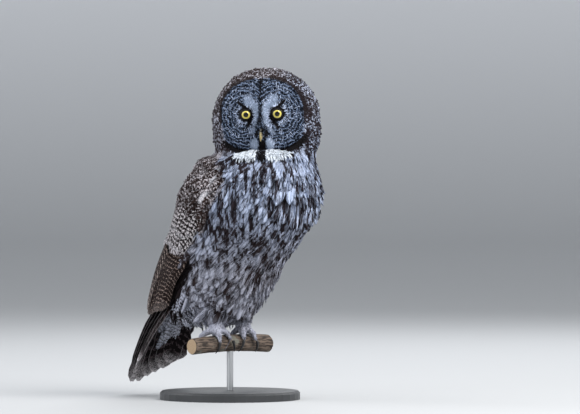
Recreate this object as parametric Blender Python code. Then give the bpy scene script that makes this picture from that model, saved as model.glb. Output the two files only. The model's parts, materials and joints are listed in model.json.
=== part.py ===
"""Great grey owl on a cut branch, held by a plain display stand.

Metres, +Z up. The origin is the centre of the underside of the stand's base.
The bird's body faces -Y, its right side is -X, and its head looks round to its right.
"""

import math
import random

import bmesh
import bpy
from mathutils import Matrix, Vector

# Driving dimensions
GAP = 0.0003
BASE_RADIUS = 0.130
BASE_THICKNESS = 0.016
BASE_BEVEL = 0.004
PERCH_RADIUS = 0.0165
PERCH_LENGTH = 0.200
PERCH_TOP = 0.121
ROD_RADIUS = 0.0060
HEAD_CENTRE = Vector((0.0, -0.0945, 0.527))
HEAD_TURN = math.radians(53.0)
HEAD_ROLL = math.radians(1.6)
HEAD_HALF_WIDTH = 0.101
HEAD_WIDEST = -0.012
HEAD_RISE = 0.099
HEAD_DROP = 0.118
HEAD_FRONT = 0.079
HEAD_BACK = 0.090
NECK_DROP = 0.069
NECK_RADIUS = 0.096
DISC_HALF_WIDTH = 0.0755
DISC_RISE = 0.0655
DISC_DROP = 0.0640
EYE_RADIUS = 0.0105
EYE_SIDE = 0.0289
EYE_FORWARD = 0.0555
EYE_SPLAY = math.radians(12.0)
BILL_BASE_HALF_WIDTH = 0.0068
TAIL_FEATHER_PAIRS = 6
PRIMARIES = 7
SECONDARIES = 6
FOOT_SPREAD = 0.034
TOE_RADIUS = 0.0078
CLAW_RADIUS = 0.0031
VANE_THICKNESS = 0.0009

# Torso stations from the neck to the rump: centre Y and Z, lean in degrees,
# half width, depth towards the back, depth towards the belly
TORSO = (
    (-0.080, 0.441, 9, 0.108, 0.108, 0.116),
    (-0.065, 0.405, 24, 0.126, 0.114, 0.141),
    (-0.044, 0.362, 32, 0.130, 0.115, 0.129),
    (-0.018, 0.315, 43, 0.119, 0.106, 0.112),
    (0.012, 0.270, 56, 0.100, 0.100, 0.123),
    (0.054, 0.232, 56, 0.079, 0.076, 0.104),
    (0.096, 0.200, 44, 0.054, 0.050, 0.074),
    (0.124, 0.168, 36, 0.032, 0.028, 0.038),
)

# The closed wings lie on the same stations, carried on past the rump to the wing tips
WING = TORSO[:3] + (
    (-0.016, 0.315, 38, 0.121, 0.108, 0.134),
    (0.020, 0.270, 43, 0.104, 0.098, 0.125),
    (0.064, 0.236, 42, 0.086, 0.086, 0.090),
    (0.104, 0.202, 34, 0.060, 0.078, 0.060),
    (0.132, 0.167, 26, 0.044, 0.070, 0.046),
    (0.150, 0.134, 22, 0.031, 0.068, 0.034),
)


def clear_scene():
    for thing in list(bpy.data.objects):
        bpy.data.objects.remove(thing, do_unlink=True)


def finish(name, colour, roughness, metallic=0.0):
    material = bpy.data.materials.new(name)
    material.use_nodes = True
    shader = material.node_tree.nodes["Principled BSDF"]
    shader.inputs["Base Color"].default_value = (*colour, 1.0)
    shader.inputs["Roughness"].default_value = roughness
    shader.inputs["Metallic"].default_value = metallic
    return material


def new_object(name, points, faces):
    mesh = bpy.data.meshes.new(name)
    mesh.from_pydata([tuple(point) for point in points], [], faces)
    work = bmesh.new()
    work.from_mesh(mesh)
    bmesh.ops.recalc_face_normals(work, faces=work.faces)
    work.to_mesh(mesh)
    work.free()
    thing = bpy.data.objects.new(name, mesh)
    bpy.context.scene.collection.objects.link(thing)
    return thing


def loft(name, rings):
    """A closed skin over rings with the same number of points, flat at both ends."""
    count = len(rings[0])
    points = [point for ring in rings for point in ring]
    faces = [tuple(range(count)), tuple(range(len(points) - count, len(points)))]
    for row in range(len(rings) - 1):
        for column in range(count):
            a = row * count + column
            b = row * count + (column + 1) % count
            faces.append((a, b, b + count))
            faces.append((a, b + count, a + count))
    return new_object(name, points, faces)


def ring_about(centre, axis, side, radius, sides, second_radius=None):
    axis = axis.normalized()
    side = (side - axis * side.dot(axis)).normalized()
    other = axis.cross(side)
    second = radius if second_radius is None else second_radius
    ring = []
    for step in range(sides):
        angle = math.tau * (step + 0.5) / sides
        ring.append(centre + side * radius * math.cos(angle) + other * second * math.sin(angle))
    return ring


def tube(name, path, radii, sides, side=Vector((1.0, 0.0, 0.0))):
    rings = []
    for index, centre in enumerate(path):
        ahead = path[min(index + 1, len(path) - 1)] - path[max(index - 1, 0)]
        rings.append(ring_about(centre, ahead, side, radii[index], sides))
    return loft(name, rings)


def smooth_row(rows, at):
    """Read a row of numbers between rows on a smooth curve through all of them."""
    last = len(rows) - 1
    at = min(max(at, 0.0), last)
    index = min(int(at), last - 1)
    part = at - index
    before = rows[max(index - 1, 0)]
    start = rows[index]
    end = rows[index + 1]
    after = rows[min(index + 2, last)]
    values = []
    for p, q, r, s in zip(before, start, end, after):
        bend = 2.0 * q + (r - p) * part + (2.0 * p - 5.0 * q + 4.0 * r - s) * part ** 2
        values.append(0.5 * (bend + (3.0 * q - p - 3.0 * r + s) * part ** 3))
    return values


def on_body(rows, at, angle, height, side=1.0):
    """A point of the body at a station, by its angle from the middle of the back."""
    y, z, lean, half_width, back, belly = smooth_row(rows, at)
    lean = math.radians(lean)
    depth = back if math.cos(angle) > 0.0 else belly
    reach = (depth + height) * math.cos(angle)
    x = side * (half_width + height) * math.sin(angle)
    return Vector((x, y + reach * math.cos(lean), z + reach * math.sin(lean)))


def join(parts, name):
    """Fuse closed pieces into the first of them."""
    body = parts[0]
    if len(parts) > 1:
        group = bpy.data.collections.new(name + "_pieces")
        for piece in parts[1:]:
            for home in list(piece.users_collection):
                home.objects.unlink(piece)
            group.objects.link(piece)
        union = body.modifiers.new("union", "BOOLEAN")
        union.operation = "UNION"
        union.operand_type = "COLLECTION"
        union.collection = group
        union.solver = "EXACT"
        apply_modifiers(body)
        for piece in list(group.objects):
            bpy.data.objects.remove(piece, do_unlink=True)
        bpy.data.collections.remove(group)
    body.name = name
    body.data.name = name
    keep_largest(body)
    return body


def apply_modifiers(thing):
    """Turn what the modifiers show into the piece's own mesh."""
    seen = thing.evaluated_get(bpy.context.evaluated_depsgraph_get())
    mesh = bpy.data.meshes.new_from_object(seen)
    thing.modifiers.clear()
    thing.data = mesh


def cut(thing, cutter):
    """Take a closed cutter out of a closed piece, and remove the cutter."""
    take = thing.modifiers.new("cut", "BOOLEAN")
    take.operation = "DIFFERENCE"
    take.object = cutter
    take.solver = "EXACT"
    apply_modifiers(thing)
    bpy.data.objects.remove(cutter, do_unlink=True)
    keep_largest(thing)


def keep_largest(thing):
    """Keep the largest closed surface, so that no scrap or sealed hollow stays."""
    work = bmesh.new()
    work.from_mesh(thing.data)
    bmesh.ops.remove_doubles(work, verts=work.verts, dist=0.00002)
    bmesh.ops.dissolve_degenerate(work, edges=work.edges, dist=0.00002)
    bmesh.ops.triangulate(work, faces=work.faces)
    left = set(work.faces)
    shells = []
    while left:
        start = left.pop()
        shell = [start]
        for face in shell:
            for edge in face.edges:
                shared = edge.link_faces if len(edge.link_faces) == 2 else ()
                for neighbour in shared:
                    if neighbour in left:
                        left.remove(neighbour)
                        shell.append(neighbour)
        shells.append(shell)
    shells.sort(key=lambda shell: sum(face.calc_area() for face in shell), reverse=True)
    scraps = [face for shell in shells[1:] for face in shell]
    bmesh.ops.delete(work, geom=scraps, context="FACES")
    loose = [vert for vert in work.verts if not vert.link_faces]
    bmesh.ops.delete(work, geom=loose, context="VERTS")
    work.to_mesh(thing.data)
    work.free()


def dress(thing, material):
    thing.data.materials.clear()
    thing.data.materials.append(material)
    thing.data.shade_smooth()
    thing.data.set_sharp_from_angle(angle=math.radians(40.0))
    return thing


def vane(centres, across, normals, widths, thickness=VANE_THICKNESS):
    """A flat feather blade of even thickness, split into triangles alike on both faces."""
    rings = []
    for centre, side, out, width in zip(centres, across, normals, widths):
        half = out * thickness * 0.5
        left = centre - side * width
        right = centre + side * width
        rings.append((left - half, right - half, right + half, left + half))
    return loft("vane", rings)


def vane_widths(half_width, shares, root=0.42, tip=0.26):
    """Half widths of a feather from its sunk root to its rounded tip."""
    widths = []
    for along in shares:
        swell = root + (1.0 - root) * min(1.0, along / 0.35)
        close = 1.0 if along < 0.70 else math.sqrt(max(0.0, 1.0 - ((along - 0.70) / 0.31) ** 2))
        widths.append(half_width * max(tip, swell * close))
    return widths


def vane_shares(steps):
    """Places along a feather, closer together towards its rounded tip."""
    return [(step / (steps - 1)) ** 0.8 for step in range(steps)]


def body_vane(root, tip, lifts, half_width, side, steps, roll):
    """A feather that lies along the wing from a root to a tip, each a station and an angle.

    It rolls about its shaft, so that its lower edge lies over the feather below it.
    """
    centres, across, normals = [], [], []
    shares = vane_shares(steps)
    nudge = 0.02
    for along in shares:
        at = root[0] + (tip[0] - root[0]) * along
        angle = root[1] + (tip[1] - root[1]) * along
        height = lifts[0] + (lifts[1] - lifts[0]) * along
        here = on_body(WING, at, angle, height, side)
        higher = on_body(WING, at, angle, height + 0.01, side)
        step_at = nudge * (tip[0] - root[0])
        step_angle = nudge * (tip[1] - root[1])
        ahead = on_body(WING, at + step_at, angle + step_angle, height, side)
        behind = on_body(WING, at - step_at, angle - step_angle, height, side)
        run = (ahead - behind).normalized()
        out = (higher - here).normalized()
        out = (out - run * out.dot(run)).normalized()
        out = Matrix.Rotation(roll * side, 3, run) @ out
        centres.append(here)
        normals.append(out)
        across.append(out.cross(run).normalized())
    return vane(centres, across, normals, vane_widths(half_width, shares))


def straight_vane(root, tip, out, half_width, steps=5, bow=0.0):
    """A feather on a gently bent line between two points of space."""
    run = (tip - root).normalized()
    out = (out - run * out.dot(run)).normalized()
    across = out.cross(run).normalized()
    shares = vane_shares(steps)
    centres = [root.lerp(tip, along) + out * bow * math.sin(math.pi * along) for along in shares]
    return vane(centres, [across] * steps, [out] * steps, vane_widths(half_width, shares))


def body_rings(rows, first, last, steps, sides, grow=0.0):
    rings = []
    for row in range(steps):
        at = first + (last - first) * row / (steps - 1)
        rings.append([on_body(rows, at, math.tau * (step + 0.5) / sides, grow)
                      for step in range(sides)])
    return rings


TORSO_STEPS = 15
TORSO_SIDES = 24


def torso_solid(grow):
    rings = body_rings(TORSO, 0.0, len(TORSO) - 1, TORSO_STEPS, TORSO_SIDES, grow)
    top_lean = math.radians(TORSO[0][2])
    end_lean = math.radians(TORSO[-1][2])
    up = Vector((0.0, -math.sin(top_lean), math.cos(top_lean)))
    down = Vector((0.0, math.sin(end_lean), -math.cos(end_lean)))
    if grow > 0.0:
        rings[0] = [point + up * grow for point in rings[0]]
        rings[-1] = [point + down * grow for point in rings[-1]]
    return loft("torso", rings)


def build_torso():
    feather = finish("breast_feather", (0.42, 0.43, 0.47), 0.8)
    return dress(torso_solid(0.0), feather)


# The head has its own frame: its left, its front and its crown
def head_frame():
    forward = Vector((-math.sin(HEAD_TURN), -math.cos(HEAD_TURN), 0.0))
    crown = Matrix.Rotation(HEAD_ROLL, 3, forward) @ Vector((0.0, 0.0, 1.0))
    left = crown.cross(forward).normalized()
    return left, forward, crown


def in_head(left_reach, front_reach, rise):
    left, forward, crown = head_frame()
    return HEAD_CENTRE + left * left_reach + forward * front_reach + crown * rise


def outline_reach(angle, half_width, rise, drop, power):
    """Distance from the middle to a rounded outline at an angle."""
    across = abs(math.cos(angle)) / half_width
    upright = abs(math.sin(angle)) / (rise if math.sin(angle) > 0.0 else drop)
    return (across ** power + upright ** power) ** (-1.0 / power)


# The forms of the face, each with its height, its middle and its spread
DISH_DEPTH = 0.0075
DISH_SPREAD = 0.027
NOSE_HEIGHT = 0.0165
NOSE_RISE = -0.022
BROW_HEIGHT = 0.0075
BROW_SIDE = 0.016
BROW_SLOPE = 0.55
FOREHEAD_HEIGHT = 0.0060
FOREHEAD_RISE = 0.030
CHIN_HEIGHT = 0.0060
CHIN_RISE = -0.054


def swell(distance, spread):
    return math.exp(-(distance / spread) ** 2)


def face_relief(side_reach, rise):
    """How far the face stands forward of the plane of the eyes."""
    across = abs(side_reach)
    dish = -DISH_DEPTH * swell(math.hypot(across - EYE_SIDE, rise), DISH_SPREAD)
    nose = NOSE_HEIGHT * swell(across, 0.0085) * swell(rise - NOSE_RISE, 0.030)
    brow_line = rise - 0.006 - BROW_SLOPE * (across - 0.012)
    brow = BROW_HEIGHT * swell(brow_line, 0.011) * swell(across - BROW_SIDE, 0.020)
    forehead = FOREHEAD_HEIGHT * swell(across, 0.012) * swell(rise - FOREHEAD_RISE, 0.030)
    chin = CHIN_HEIGHT * swell(across, 0.014) * swell(rise - CHIN_RISE, 0.014)
    return dish + nose + brow + forehead + chin


HEAD_SIDES = 36
DISC_RINGS = 10
BACK_RINGS = 8
RIM_FORWARD = 0.0535
DISC_BULGE = 0.0105
RIM_STAND = 0.0040


def head_solid():
    """Rings from the middle of the face out over the rim and round to the nape."""
    rings = []
    for ring in range(1, DISC_RINGS + 1):
        share = ring / DISC_RINGS
        points = []
        for step in range(HEAD_SIDES):
            angle = math.tau * step / HEAD_SIDES
            reach = share * outline_reach(angle, DISC_HALF_WIDTH, DISC_RISE, DISC_DROP, 2.3)
            side_reach = reach * math.cos(angle)
            rise = reach * math.sin(angle)
            fade = 1.0 - share ** 6
            front = RIM_FORWARD + DISC_BULGE * (1.0 - share ** 2)
            front += face_relief(side_reach, rise) * fade
            front += RIM_STAND * math.exp(-((share - 0.97) / 0.07) ** 2)
            points.append(in_head(side_reach, front, rise))
        rings.append(points)
    start = math.acos(DISC_HALF_WIDTH / HEAD_HALF_WIDTH)
    for ring in range(1, BACK_RINGS + 1):
        share = ring / (BACK_RINGS + 0.5)
        turn = start * (1.0 - share) - (math.pi / 2.0) * share
        depth = HEAD_FRONT if turn > 0.0 else HEAD_BACK
        front = depth * math.sin(turn)
        scale = math.cos(turn)
        settle = min(1.0, ring / 2.0)
        points = []
        for step in range(HEAD_SIDES):
            angle = math.tau * step / HEAD_SIDES
            power = 2.1 if math.sin(angle) > 0.0 else 3.0
            whole = outline_reach(angle, HEAD_HALF_WIDTH, HEAD_RISE, HEAD_DROP, power) * scale
            near = outline_reach(angle, DISC_HALF_WIDTH, DISC_RISE, DISC_DROP, 2.3)
            near *= scale * HEAD_HALF_WIDTH / DISC_HALF_WIDTH
            reach = near + (whole - near) * settle
            rise = reach * math.sin(angle) + HEAD_WIDEST * settle
            points.append(in_head(reach * math.cos(angle), front, rise))
        rings.append(points)
    middle = in_head(0.0, RIM_FORWARD + DISC_BULGE + face_relief(0.0, 0.0), 0.0)
    nape = in_head(0.0, -HEAD_BACK, HEAD_WIDEST)
    points = [middle] + [point for ring in rings for point in ring] + [nape]
    faces = []
    for step in range(HEAD_SIDES):
        after = (step + 1) % HEAD_SIDES
        faces.append((0, 1 + step, 1 + after))
        last = 1 + (len(rings) - 1) * HEAD_SIDES
        faces.append((len(points) - 1, last + after, last + step))
        for row in range(len(rings) - 1):
            a = 1 + row * HEAD_SIDES + step
            b = 1 + row * HEAD_SIDES + after
            faces.append((a, a + HEAD_SIDES, b + HEAD_SIDES))
            faces.append((a, b + HEAD_SIDES, b))
    return new_object("head", points, faces)


def slice_above(thing, point, normal):
    """Cut a closed piece flat, and keep what lies on the side that the normal points to."""
    work = bmesh.new()
    work.from_mesh(thing.data)
    geometry = list(work.verts) + list(work.edges) + list(work.faces)
    cut_edges = bmesh.ops.bisect_plane(work, geom=geometry, dist=0.000001, plane_co=point,
                                       plane_no=normal, clear_inner=True)["geom_cut"]
    rim = [item for item in cut_edges if isinstance(item, bmesh.types.BMEdge)]
    bmesh.ops.contextual_create(work, geom=rim)
    bmesh.ops.recalc_face_normals(work, faces=work.faces)
    work.to_mesh(thing.data)
    work.free()


def eye_axis(side):
    left, forward = head_frame()[:2]
    return (forward * math.cos(EYE_SPLAY) + left * side * math.sin(EYE_SPLAY)).normalized()


def ball(name, centre, radius, columns=20, rows=12, axis=Vector((0.0, 0.0, 1.0))):
    mesh = bpy.data.meshes.new(name)
    work = bmesh.new()
    turn = axis.to_track_quat("Z", "Y").to_matrix().to_4x4()
    bmesh.ops.create_uvsphere(work, u_segments=columns, v_segments=rows, radius=radius,
                              matrix=Matrix.Translation(centre) @ turn)
    bmesh.ops.triangulate(work, faces=work.faces)
    work.to_mesh(mesh)
    work.free()
    thing = bpy.data.objects.new(name, mesh)
    bpy.context.scene.collection.objects.link(thing)
    return thing


LID_STEPS = 16
LID_SIDES = 5
LID_THICKNESS = 0.0021
LID_RADIUS = EYE_RADIUS * 0.86
LID_FORWARD = EYE_RADIUS * 0.52


def lid(side):
    """The rim of bare lid round one eye, a ring that leans out over the ball."""
    axis = eye_axis(side)
    sideways = axis.cross(head_frame()[2]).normalized()
    upward = sideways.cross(axis).normalized()
    middle = in_head(side * EYE_SIDE, EYE_FORWARD, 0.0) + axis * LID_FORWARD
    points = []
    for step in range(LID_STEPS):
        angle = math.tau * step / LID_STEPS
        away = sideways * math.cos(angle) + upward * math.sin(angle)
        for turn in range(LID_SIDES):
            bend = math.tau * turn / LID_SIDES
            thick = (away * math.cos(bend) + axis * math.sin(bend)) * LID_THICKNESS
            points.append(middle + away * LID_RADIUS + thick)
    faces = []
    for step in range(LID_STEPS):
        for turn in range(LID_SIDES):
            a = step * LID_SIDES + turn
            b = step * LID_SIDES + (turn + 1) % LID_SIDES
            after = ((step + 1) % LID_STEPS) * LID_SIDES
            c = after + (turn + 1) % LID_SIDES
            faces.append((a, b, c))
            faces.append((a, c, after + turn))
    return new_object("lid", points, faces)


def build_head():
    head = join([head_solid(), lid(1.0), lid(-1.0)], "head")
    for side in (1.0, -1.0):
        centre = in_head(side * EYE_SIDE, EYE_FORWARD, 0.0)
        cut(head, ball("socket", centre, EYE_RADIUS + GAP, 16, 10, eye_axis(side)))
    cut(head, bill_upper_solid(GAP))
    cut(head, bill_lower_solid(GAP))
    crown = head_frame()[2]
    slice_above(head, in_head(0.0, 0.0, -NECK_DROP), crown)
    return dress(head, finish("head_feather", (0.30, 0.30, 0.32), 0.8))


def build_eyes():
    iris = finish("eye_yellow", (0.85, 0.72, 0.06), 0.12)
    for side, name in ((1.0, "eye_left"), (-1.0, "eye_right")):
        centre = in_head(side * EYE_SIDE, EYE_FORWARD, 0.0)
        dress(ball(name, centre, EYE_RADIUS, 16, 10, eye_axis(side)), iris)


def bill_rings(points, radii_side, radii_front, sides, grow):
    left = head_frame()[0]
    centres = [in_head(0.0, front, rise) for front, rise in points]
    rings = []
    for index, centre in enumerate(centres):
        run = centres[min(index + 1, len(centres) - 1)] - centres[max(index - 1, 0)]
        if grow > 0.0 and index in (0, len(centres) - 1):
            centre = centre + run.normalized() * grow * (-1.0 if index == 0 else 1.0)
        rings.append(ring_about(centre, run, left, radii_side[index] + grow, sides,
                                radii_front[index] + grow))
    return rings


def bill_upper_solid(grow):
    """The hooked upper half, from its sunk root to its tip."""
    places = ((0.0690, -0.0200), (0.0765, -0.0280), (0.0810, -0.0370), (0.0812, -0.0450),
              (0.0790, -0.0515))
    width = BILL_BASE_HALF_WIDTH
    across = (width, width * 0.92, width * 0.72, width * 0.44, width * 0.12)
    deep = (width * 1.1, width * 1.0, width * 0.74, width * 0.46, width * 0.12)
    return loft("bill_upper", bill_rings(places, across, deep, 10, grow))


def bill_lower_solid(grow):
    places = ((0.0640, -0.0335), (0.0690, -0.0395), (0.0715, -0.0445), (0.0722, -0.0480))
    width = BILL_BASE_HALF_WIDTH
    across = (width * 0.80, width * 0.74, width * 0.50, width * 0.16)
    deep = (width * 0.36, width * 0.34, width * 0.26, width * 0.12)
    return loft("bill_lower", bill_rings(places, across, deep, 8, grow))


def build_bill():
    horn = finish("bill_horn", (0.70, 0.58, 0.16), 0.35)
    upper = bill_upper_solid(0.0)
    for side in (1.0, -1.0):
        nostril = ball("nostril", in_head(side * BILL_BASE_HALF_WIDTH * 0.95, 0.0775, -0.0295),
                       0.0011, 8, 6)
        cut(upper, nostril)
    cut(upper, bill_lower_solid(GAP))
    dress(upper, horn)
    dress(bill_lower_solid(0.0), horn)


NECK_SIDES = 24
NECK_ROWS = 3


def build_neck():
    """The feathered neck between the flat underside of the head and the top of the torso."""
    forward, crown = head_frame()[1:]
    top = in_head(0.0, 0.0, -NECK_DROP) - crown * GAP
    lean = math.radians(TORSO[0][2])
    up = Vector((0.0, -math.sin(lean), math.cos(lean)))
    lower = body_rings(TORSO, 0.0, 1.0, 2, NECK_SIDES)[0]
    lower = [point + up * GAP for point in lower]
    rings = [lower]
    for row in range(1, NECK_ROWS + 1):
        share = row / NECK_ROWS
        ring = []
        for step in range(NECK_SIDES):
            angle = math.tau * (step + 0.5) / NECK_SIDES
            away = Vector((math.sin(angle), math.cos(angle), 0.0))
            facing = away.dot(forward)
            reach = NECK_RADIUS - 0.010 * max(0.0, facing)
            over = away - crown * away.dot(crown)
            end = top + over * reach
            ring.append(lower[step].lerp(end, share))
        rings.append(ring)
    neck = loft("neck", rings)
    return dress(neck, finish("neck_feather", (0.36, 0.35, 0.37), 0.8))


WING_ROWS = 10
WING_COLUMNS = 7
WING_FIRST = 0.95
WING_LAST = 5.4
WING_PAD = 0.0058

# Tiers of the closed wing, each with its count, the station and angle in degrees of its first
# and last roots and tips, the heights of roots and tips, half the width of a feather, and its
# roll about its shaft in degrees
WING_TIERS = (
    (PRIMARIES, (4.1, 92), (4.8, 66), (6.0, 86), (7.95, 50), 0.0008, 0.0030, 0.0100, 12.0),
    (SECONDARIES, (4.6, 64), (4.6, 16), (7.7, 42), (6.7, 14), 0.0042, 0.0054, 0.0120, 8.0),
    (7, (3.7, 96), (4.2, 18), (4.8, 91), (5.8, 14), 0.0030, 0.0092, 0.0148, 3.5),
    (7, (2.6, 97), (3.2, 20), (3.7, 94), (4.8, 16), 0.0030, 0.0112, 0.0158, 3.0),
    (5, (1.9, 88), (2.1, 34), (2.8, 91), (3.8, 22), 0.0030, 0.0126, 0.0170, 2.5),
)


def wing_edges(at):
    """Angles of the wing's upper and lower edges from the middle of the back."""
    upper = math.radians(8.0 + 24.0 * max(0.0, 1.0 - at / 1.8) ** 1.4)
    lower = math.radians(smooth_row(((88,), (102,), (106,), (104,), (99,), (92,), (84,)), at)[0])
    return upper, lower


def wing_pad(side):
    """The flesh and short feathers of the arm, which all the feather roots sink into."""
    rings = []
    for row in range(WING_ROWS):
        share = row / (WING_ROWS - 1)
        at = WING_FIRST + (WING_LAST - WING_FIRST) * share
        upper, lower = wing_edges(at)
        swell = 0.45 + 0.55 * math.sin(math.pi * min(0.5, 0.08 + share * 1.6))
        top, bottom = [], []
        for column in range(WING_COLUMNS):
            across = column / (WING_COLUMNS - 1)
            angle = upper + (lower - upper) * across
            rim = 0.55 + 0.45 * math.sin(math.pi * across) ** 0.5
            top.append(on_body(WING, at, angle, WING_PAD * swell * rim, side))
            bottom.append(on_body(WING, at, angle, -0.0030, side))
        rings.append(top + bottom[::-1])
    return loft("wing", rings)


def wing_tier(side, draw, tier):
    """One tier of feathers, spread evenly from its first to its last."""
    count, first_root, last_root, first_tip, last_tip, low, high, half_width, roll = tier
    feathers = []
    for index in range(count):
        share = index / (count - 1)
        at_root = first_root[0] + (last_root[0] - first_root[0]) * share
        turn_root = first_root[1] + (last_root[1] - first_root[1]) * share
        at_tip = first_tip[0] + (last_tip[0] - first_tip[0]) * share + draw.uniform(-0.05, 0.05)
        turn_tip = first_tip[1] + (last_tip[1] - first_tip[1]) * share + draw.uniform(-0.5, 0.5)
        root = (at_root, math.radians(turn_root))
        tip = (at_tip, math.radians(turn_tip))
        width = half_width * draw.uniform(0.96, 1.04)
        feathers.append(body_vane(root, tip, (low, high), width, side, 5, math.radians(roll)))
    return feathers


def build_wing(side, name, seed):
    draw = random.Random(seed)
    parts = [wing_pad(side)]
    for tier in WING_TIERS:
        parts += wing_tier(side, draw, tier)
    wing = join(parts, name)
    cut(wing, torso_solid(GAP))
    return dress(wing, finish(name + "_feather", (0.27, 0.24, 0.23), 0.8))


# The tail folds like a steep roof: its middle pair is the ridge and the longest
TAIL_TIP = Vector((0.009, 0.253, 0.029))
TAIL_TIP_EDGE = Vector((0.052, 0.198, 0.066))
TAIL_ROOT = Vector((0.005, 0.148, 0.213))
TAIL_ROOT_EDGE = Vector((0.022, 0.124, 0.182))
TAIL_BOW = 0.0112
TAIL_HALF_WIDTH = 0.0175
COVERT_TIERS = ((5, 0.112, 0.160, 0.153, 0.082, 0.026), (4, 0.096, 0.166, 0.124, 0.100, 0.022))


def tail_core():
    """The fleshy root of the tail with the soft coverts under it."""
    stations = ((0.110, 0.212, 40, 0.030, 0.034), (0.140, 0.176, 36, 0.034, 0.034),
                (0.162, 0.140, 29, 0.029, 0.026), (0.176, 0.108, 24, 0.018, 0.010))
    rings = []
    for y, z, lean, half_width, half_depth in stations:
        axis = Vector((0.0, math.sin(math.radians(lean)), -math.cos(math.radians(lean))))
        centre = Vector((0.0, y, z))
        rings.append(ring_about(centre, axis, Vector((1.0, 0.0, 0.0)), half_width, 14, half_depth))
    return loft("tail", rings)


def tail_feather(side, share, draw):
    """One of the long tail feathers, from the ridge at share 0 to the edge at share 1."""
    root = TAIL_ROOT.lerp(TAIL_ROOT_EDGE, share)
    tip = TAIL_TIP.lerp(TAIL_TIP_EDGE, share)
    tip.z += draw.uniform(0.0, 0.003)
    out = Vector((0.80 * share, 0.93 - 0.38 * share, 0.37 - 0.17 * share)).normalized()
    under = out * 0.0013 * (1.0 if side < 0.0 else 0.0)
    points = []
    for place in (root, tip):
        place = place - under
        points.append(Vector((side * place.x, place.y, place.z)))
    out.x *= side
    return straight_vane(points[0], points[1], out, TAIL_HALF_WIDTH, 5, TAIL_BOW * (1.0 - 0.5 * share))


def build_tail():
    draw = random.Random(11)
    parts = [tail_core()]
    for pair in range(TAIL_FEATHER_PAIRS):
        share = pair / (TAIL_FEATHER_PAIRS - 1)
        for side in (1.0, -1.0):
            parts.append(tail_feather(side, share, draw))
    for count, root_y, root_z, tip_y, tip_z, reach in COVERT_TIERS:
        for index in range(count):
            spread = (index / (count - 1) - 0.5) * 2.0
            root = Vector((spread * reach * 0.7, root_y, root_z))
            tip = Vector((spread * reach * 1.2, tip_y, tip_z + 0.010 * spread ** 2))
            out = Vector((0.35 * spread, -0.93, -0.37))
            parts.append(straight_vane(root, tip, out, 0.0110, 4, 0.005))
    tail = join(parts, "tail")
    cut(tail, torso_solid(GAP))
    return dress(tail, finish("tail_feather", (0.20, 0.18, 0.18), 0.8))


PERCH_STEPS = 7
PERCH_SIDES = 16
PERCH_SAG = 0.004
PERCH_SWAY = 0.003
PERCH_TAPER = 0.05


def perch_solid(grow):
    """A short cut length of branch, slightly bent, cut square at both ends."""
    path = []
    radii = []
    for step in range(PERCH_STEPS):
        share = step / (PERCH_STEPS - 1) * 2.0 - 1.0
        reach = PERCH_LENGTH * 0.5 + grow
        rise = PERCH_TOP - PERCH_RADIUS - PERCH_SAG * share ** 2
        path.append(Vector((share * reach, PERCH_SWAY * math.sin(share * 2.2), rise)))
        radii.append(PERCH_RADIUS * (1.0 + PERCH_TAPER * share) + grow)
    return tube("perch", path, radii, PERCH_SIDES, Vector((0.0, 1.0, 0.0)))


def toe_point(x, turn, away, reach):
    """A point round the branch: turn is the angle from its top towards the front."""
    middle = PERCH_TOP - PERCH_RADIUS
    return Vector((x, -math.sin(turn) * reach * away, middle + math.cos(turn) * reach))


# Toes of one foot: place across, spread outwards, front or back, length as an angle
TOES = ((-0.0085, -0.011, 1.0, 76.0), (0.0075, 0.006, 1.0, 82.0),
        (-0.0080, -0.004, -1.0, 66.0), (0.0095, 0.016, -1.0, 74.0))
TOE_START = 4.0
CLAW_BEND = 60.0
ANKLE_RISE = 0.020


def toe_rings(side, toe, turns, radii, sides):
    """Rings of a toe or claw that bends round the branch, square to its own line."""
    place, spread, away, length = toe
    reach = PERCH_RADIUS + TOE_RADIUS * 0.86

    def at(turn):
        x = side * (FOOT_SPREAD + place + spread * turn / length)
        return toe_point(x, math.radians(turn), away, reach)

    rings = []
    for turn, radius in zip(turns, radii):
        run = at(turn + 0.5) - at(turn - 0.5)
        rings.append(ring_about(at(turn), run, Vector((1.0, 0.0, 0.0)), radius, sides))
    return rings


def build_foot(side, name):
    foot = side * FOOT_SPREAD
    skin = finish(name + "_feather", (0.55, 0.54, 0.52), 0.85)
    horn = finish(name + "_claw", (0.03, 0.03, 0.035), 0.3)
    ankle = [Vector((foot, 0.0, PERCH_TOP + rise)) for rise in (0.003, 0.010, ANKLE_RISE)]
    parts = [tube("foot", ankle, (0.0175, 0.0165, 0.0145), 12)]
    toe_radii = [TOE_RADIUS * factor for factor in (1.05, 1.05, 0.97, 0.86, 0.66)]
    for toe in TOES:
        count = len(toe_radii)
        turns = [TOE_START + (toe[3] - TOE_START) * step / (count - 1) for step in range(count)]
        parts.append(loft("toe", toe_rings(side, toe, turns, toe_radii, 7)))
    whole = join(parts, name)
    cut(whole, perch_solid(GAP))
    dress(whole, skin)
    gap_turn = math.degrees(GAP / (PERCH_RADIUS + TOE_RADIUS * 0.86))
    claw_steps = 5
    for index, toe in enumerate(TOES):
        shares = [step / (claw_steps - 1) for step in range(claw_steps)]
        turns = [toe[3] + gap_turn + CLAW_BEND * share for share in shares]
        radii = [CLAW_RADIUS * (1.0 - share) ** 0.7 + GAP for share in shares]
        claw_name = name.replace("foot", "claw") + "_" + str(index + 1)
        claw = loft(claw_name, toe_rings(side, toe, turns, radii, 8))
        cut(claw, perch_solid(GAP))
        dress(claw, horn)


SHANK_RADII = (0.0165, 0.0205, 0.0290, 0.0300)
SHANK_RISES = (0.0, 0.012, 0.040, 0.085)
SHANK_BACKS = (0.0, 0.0, 0.010, 0.020)
SHANK_SPREADS = (1.0, 1.0, 1.08, 1.10)
LOCKS = 4


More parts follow.
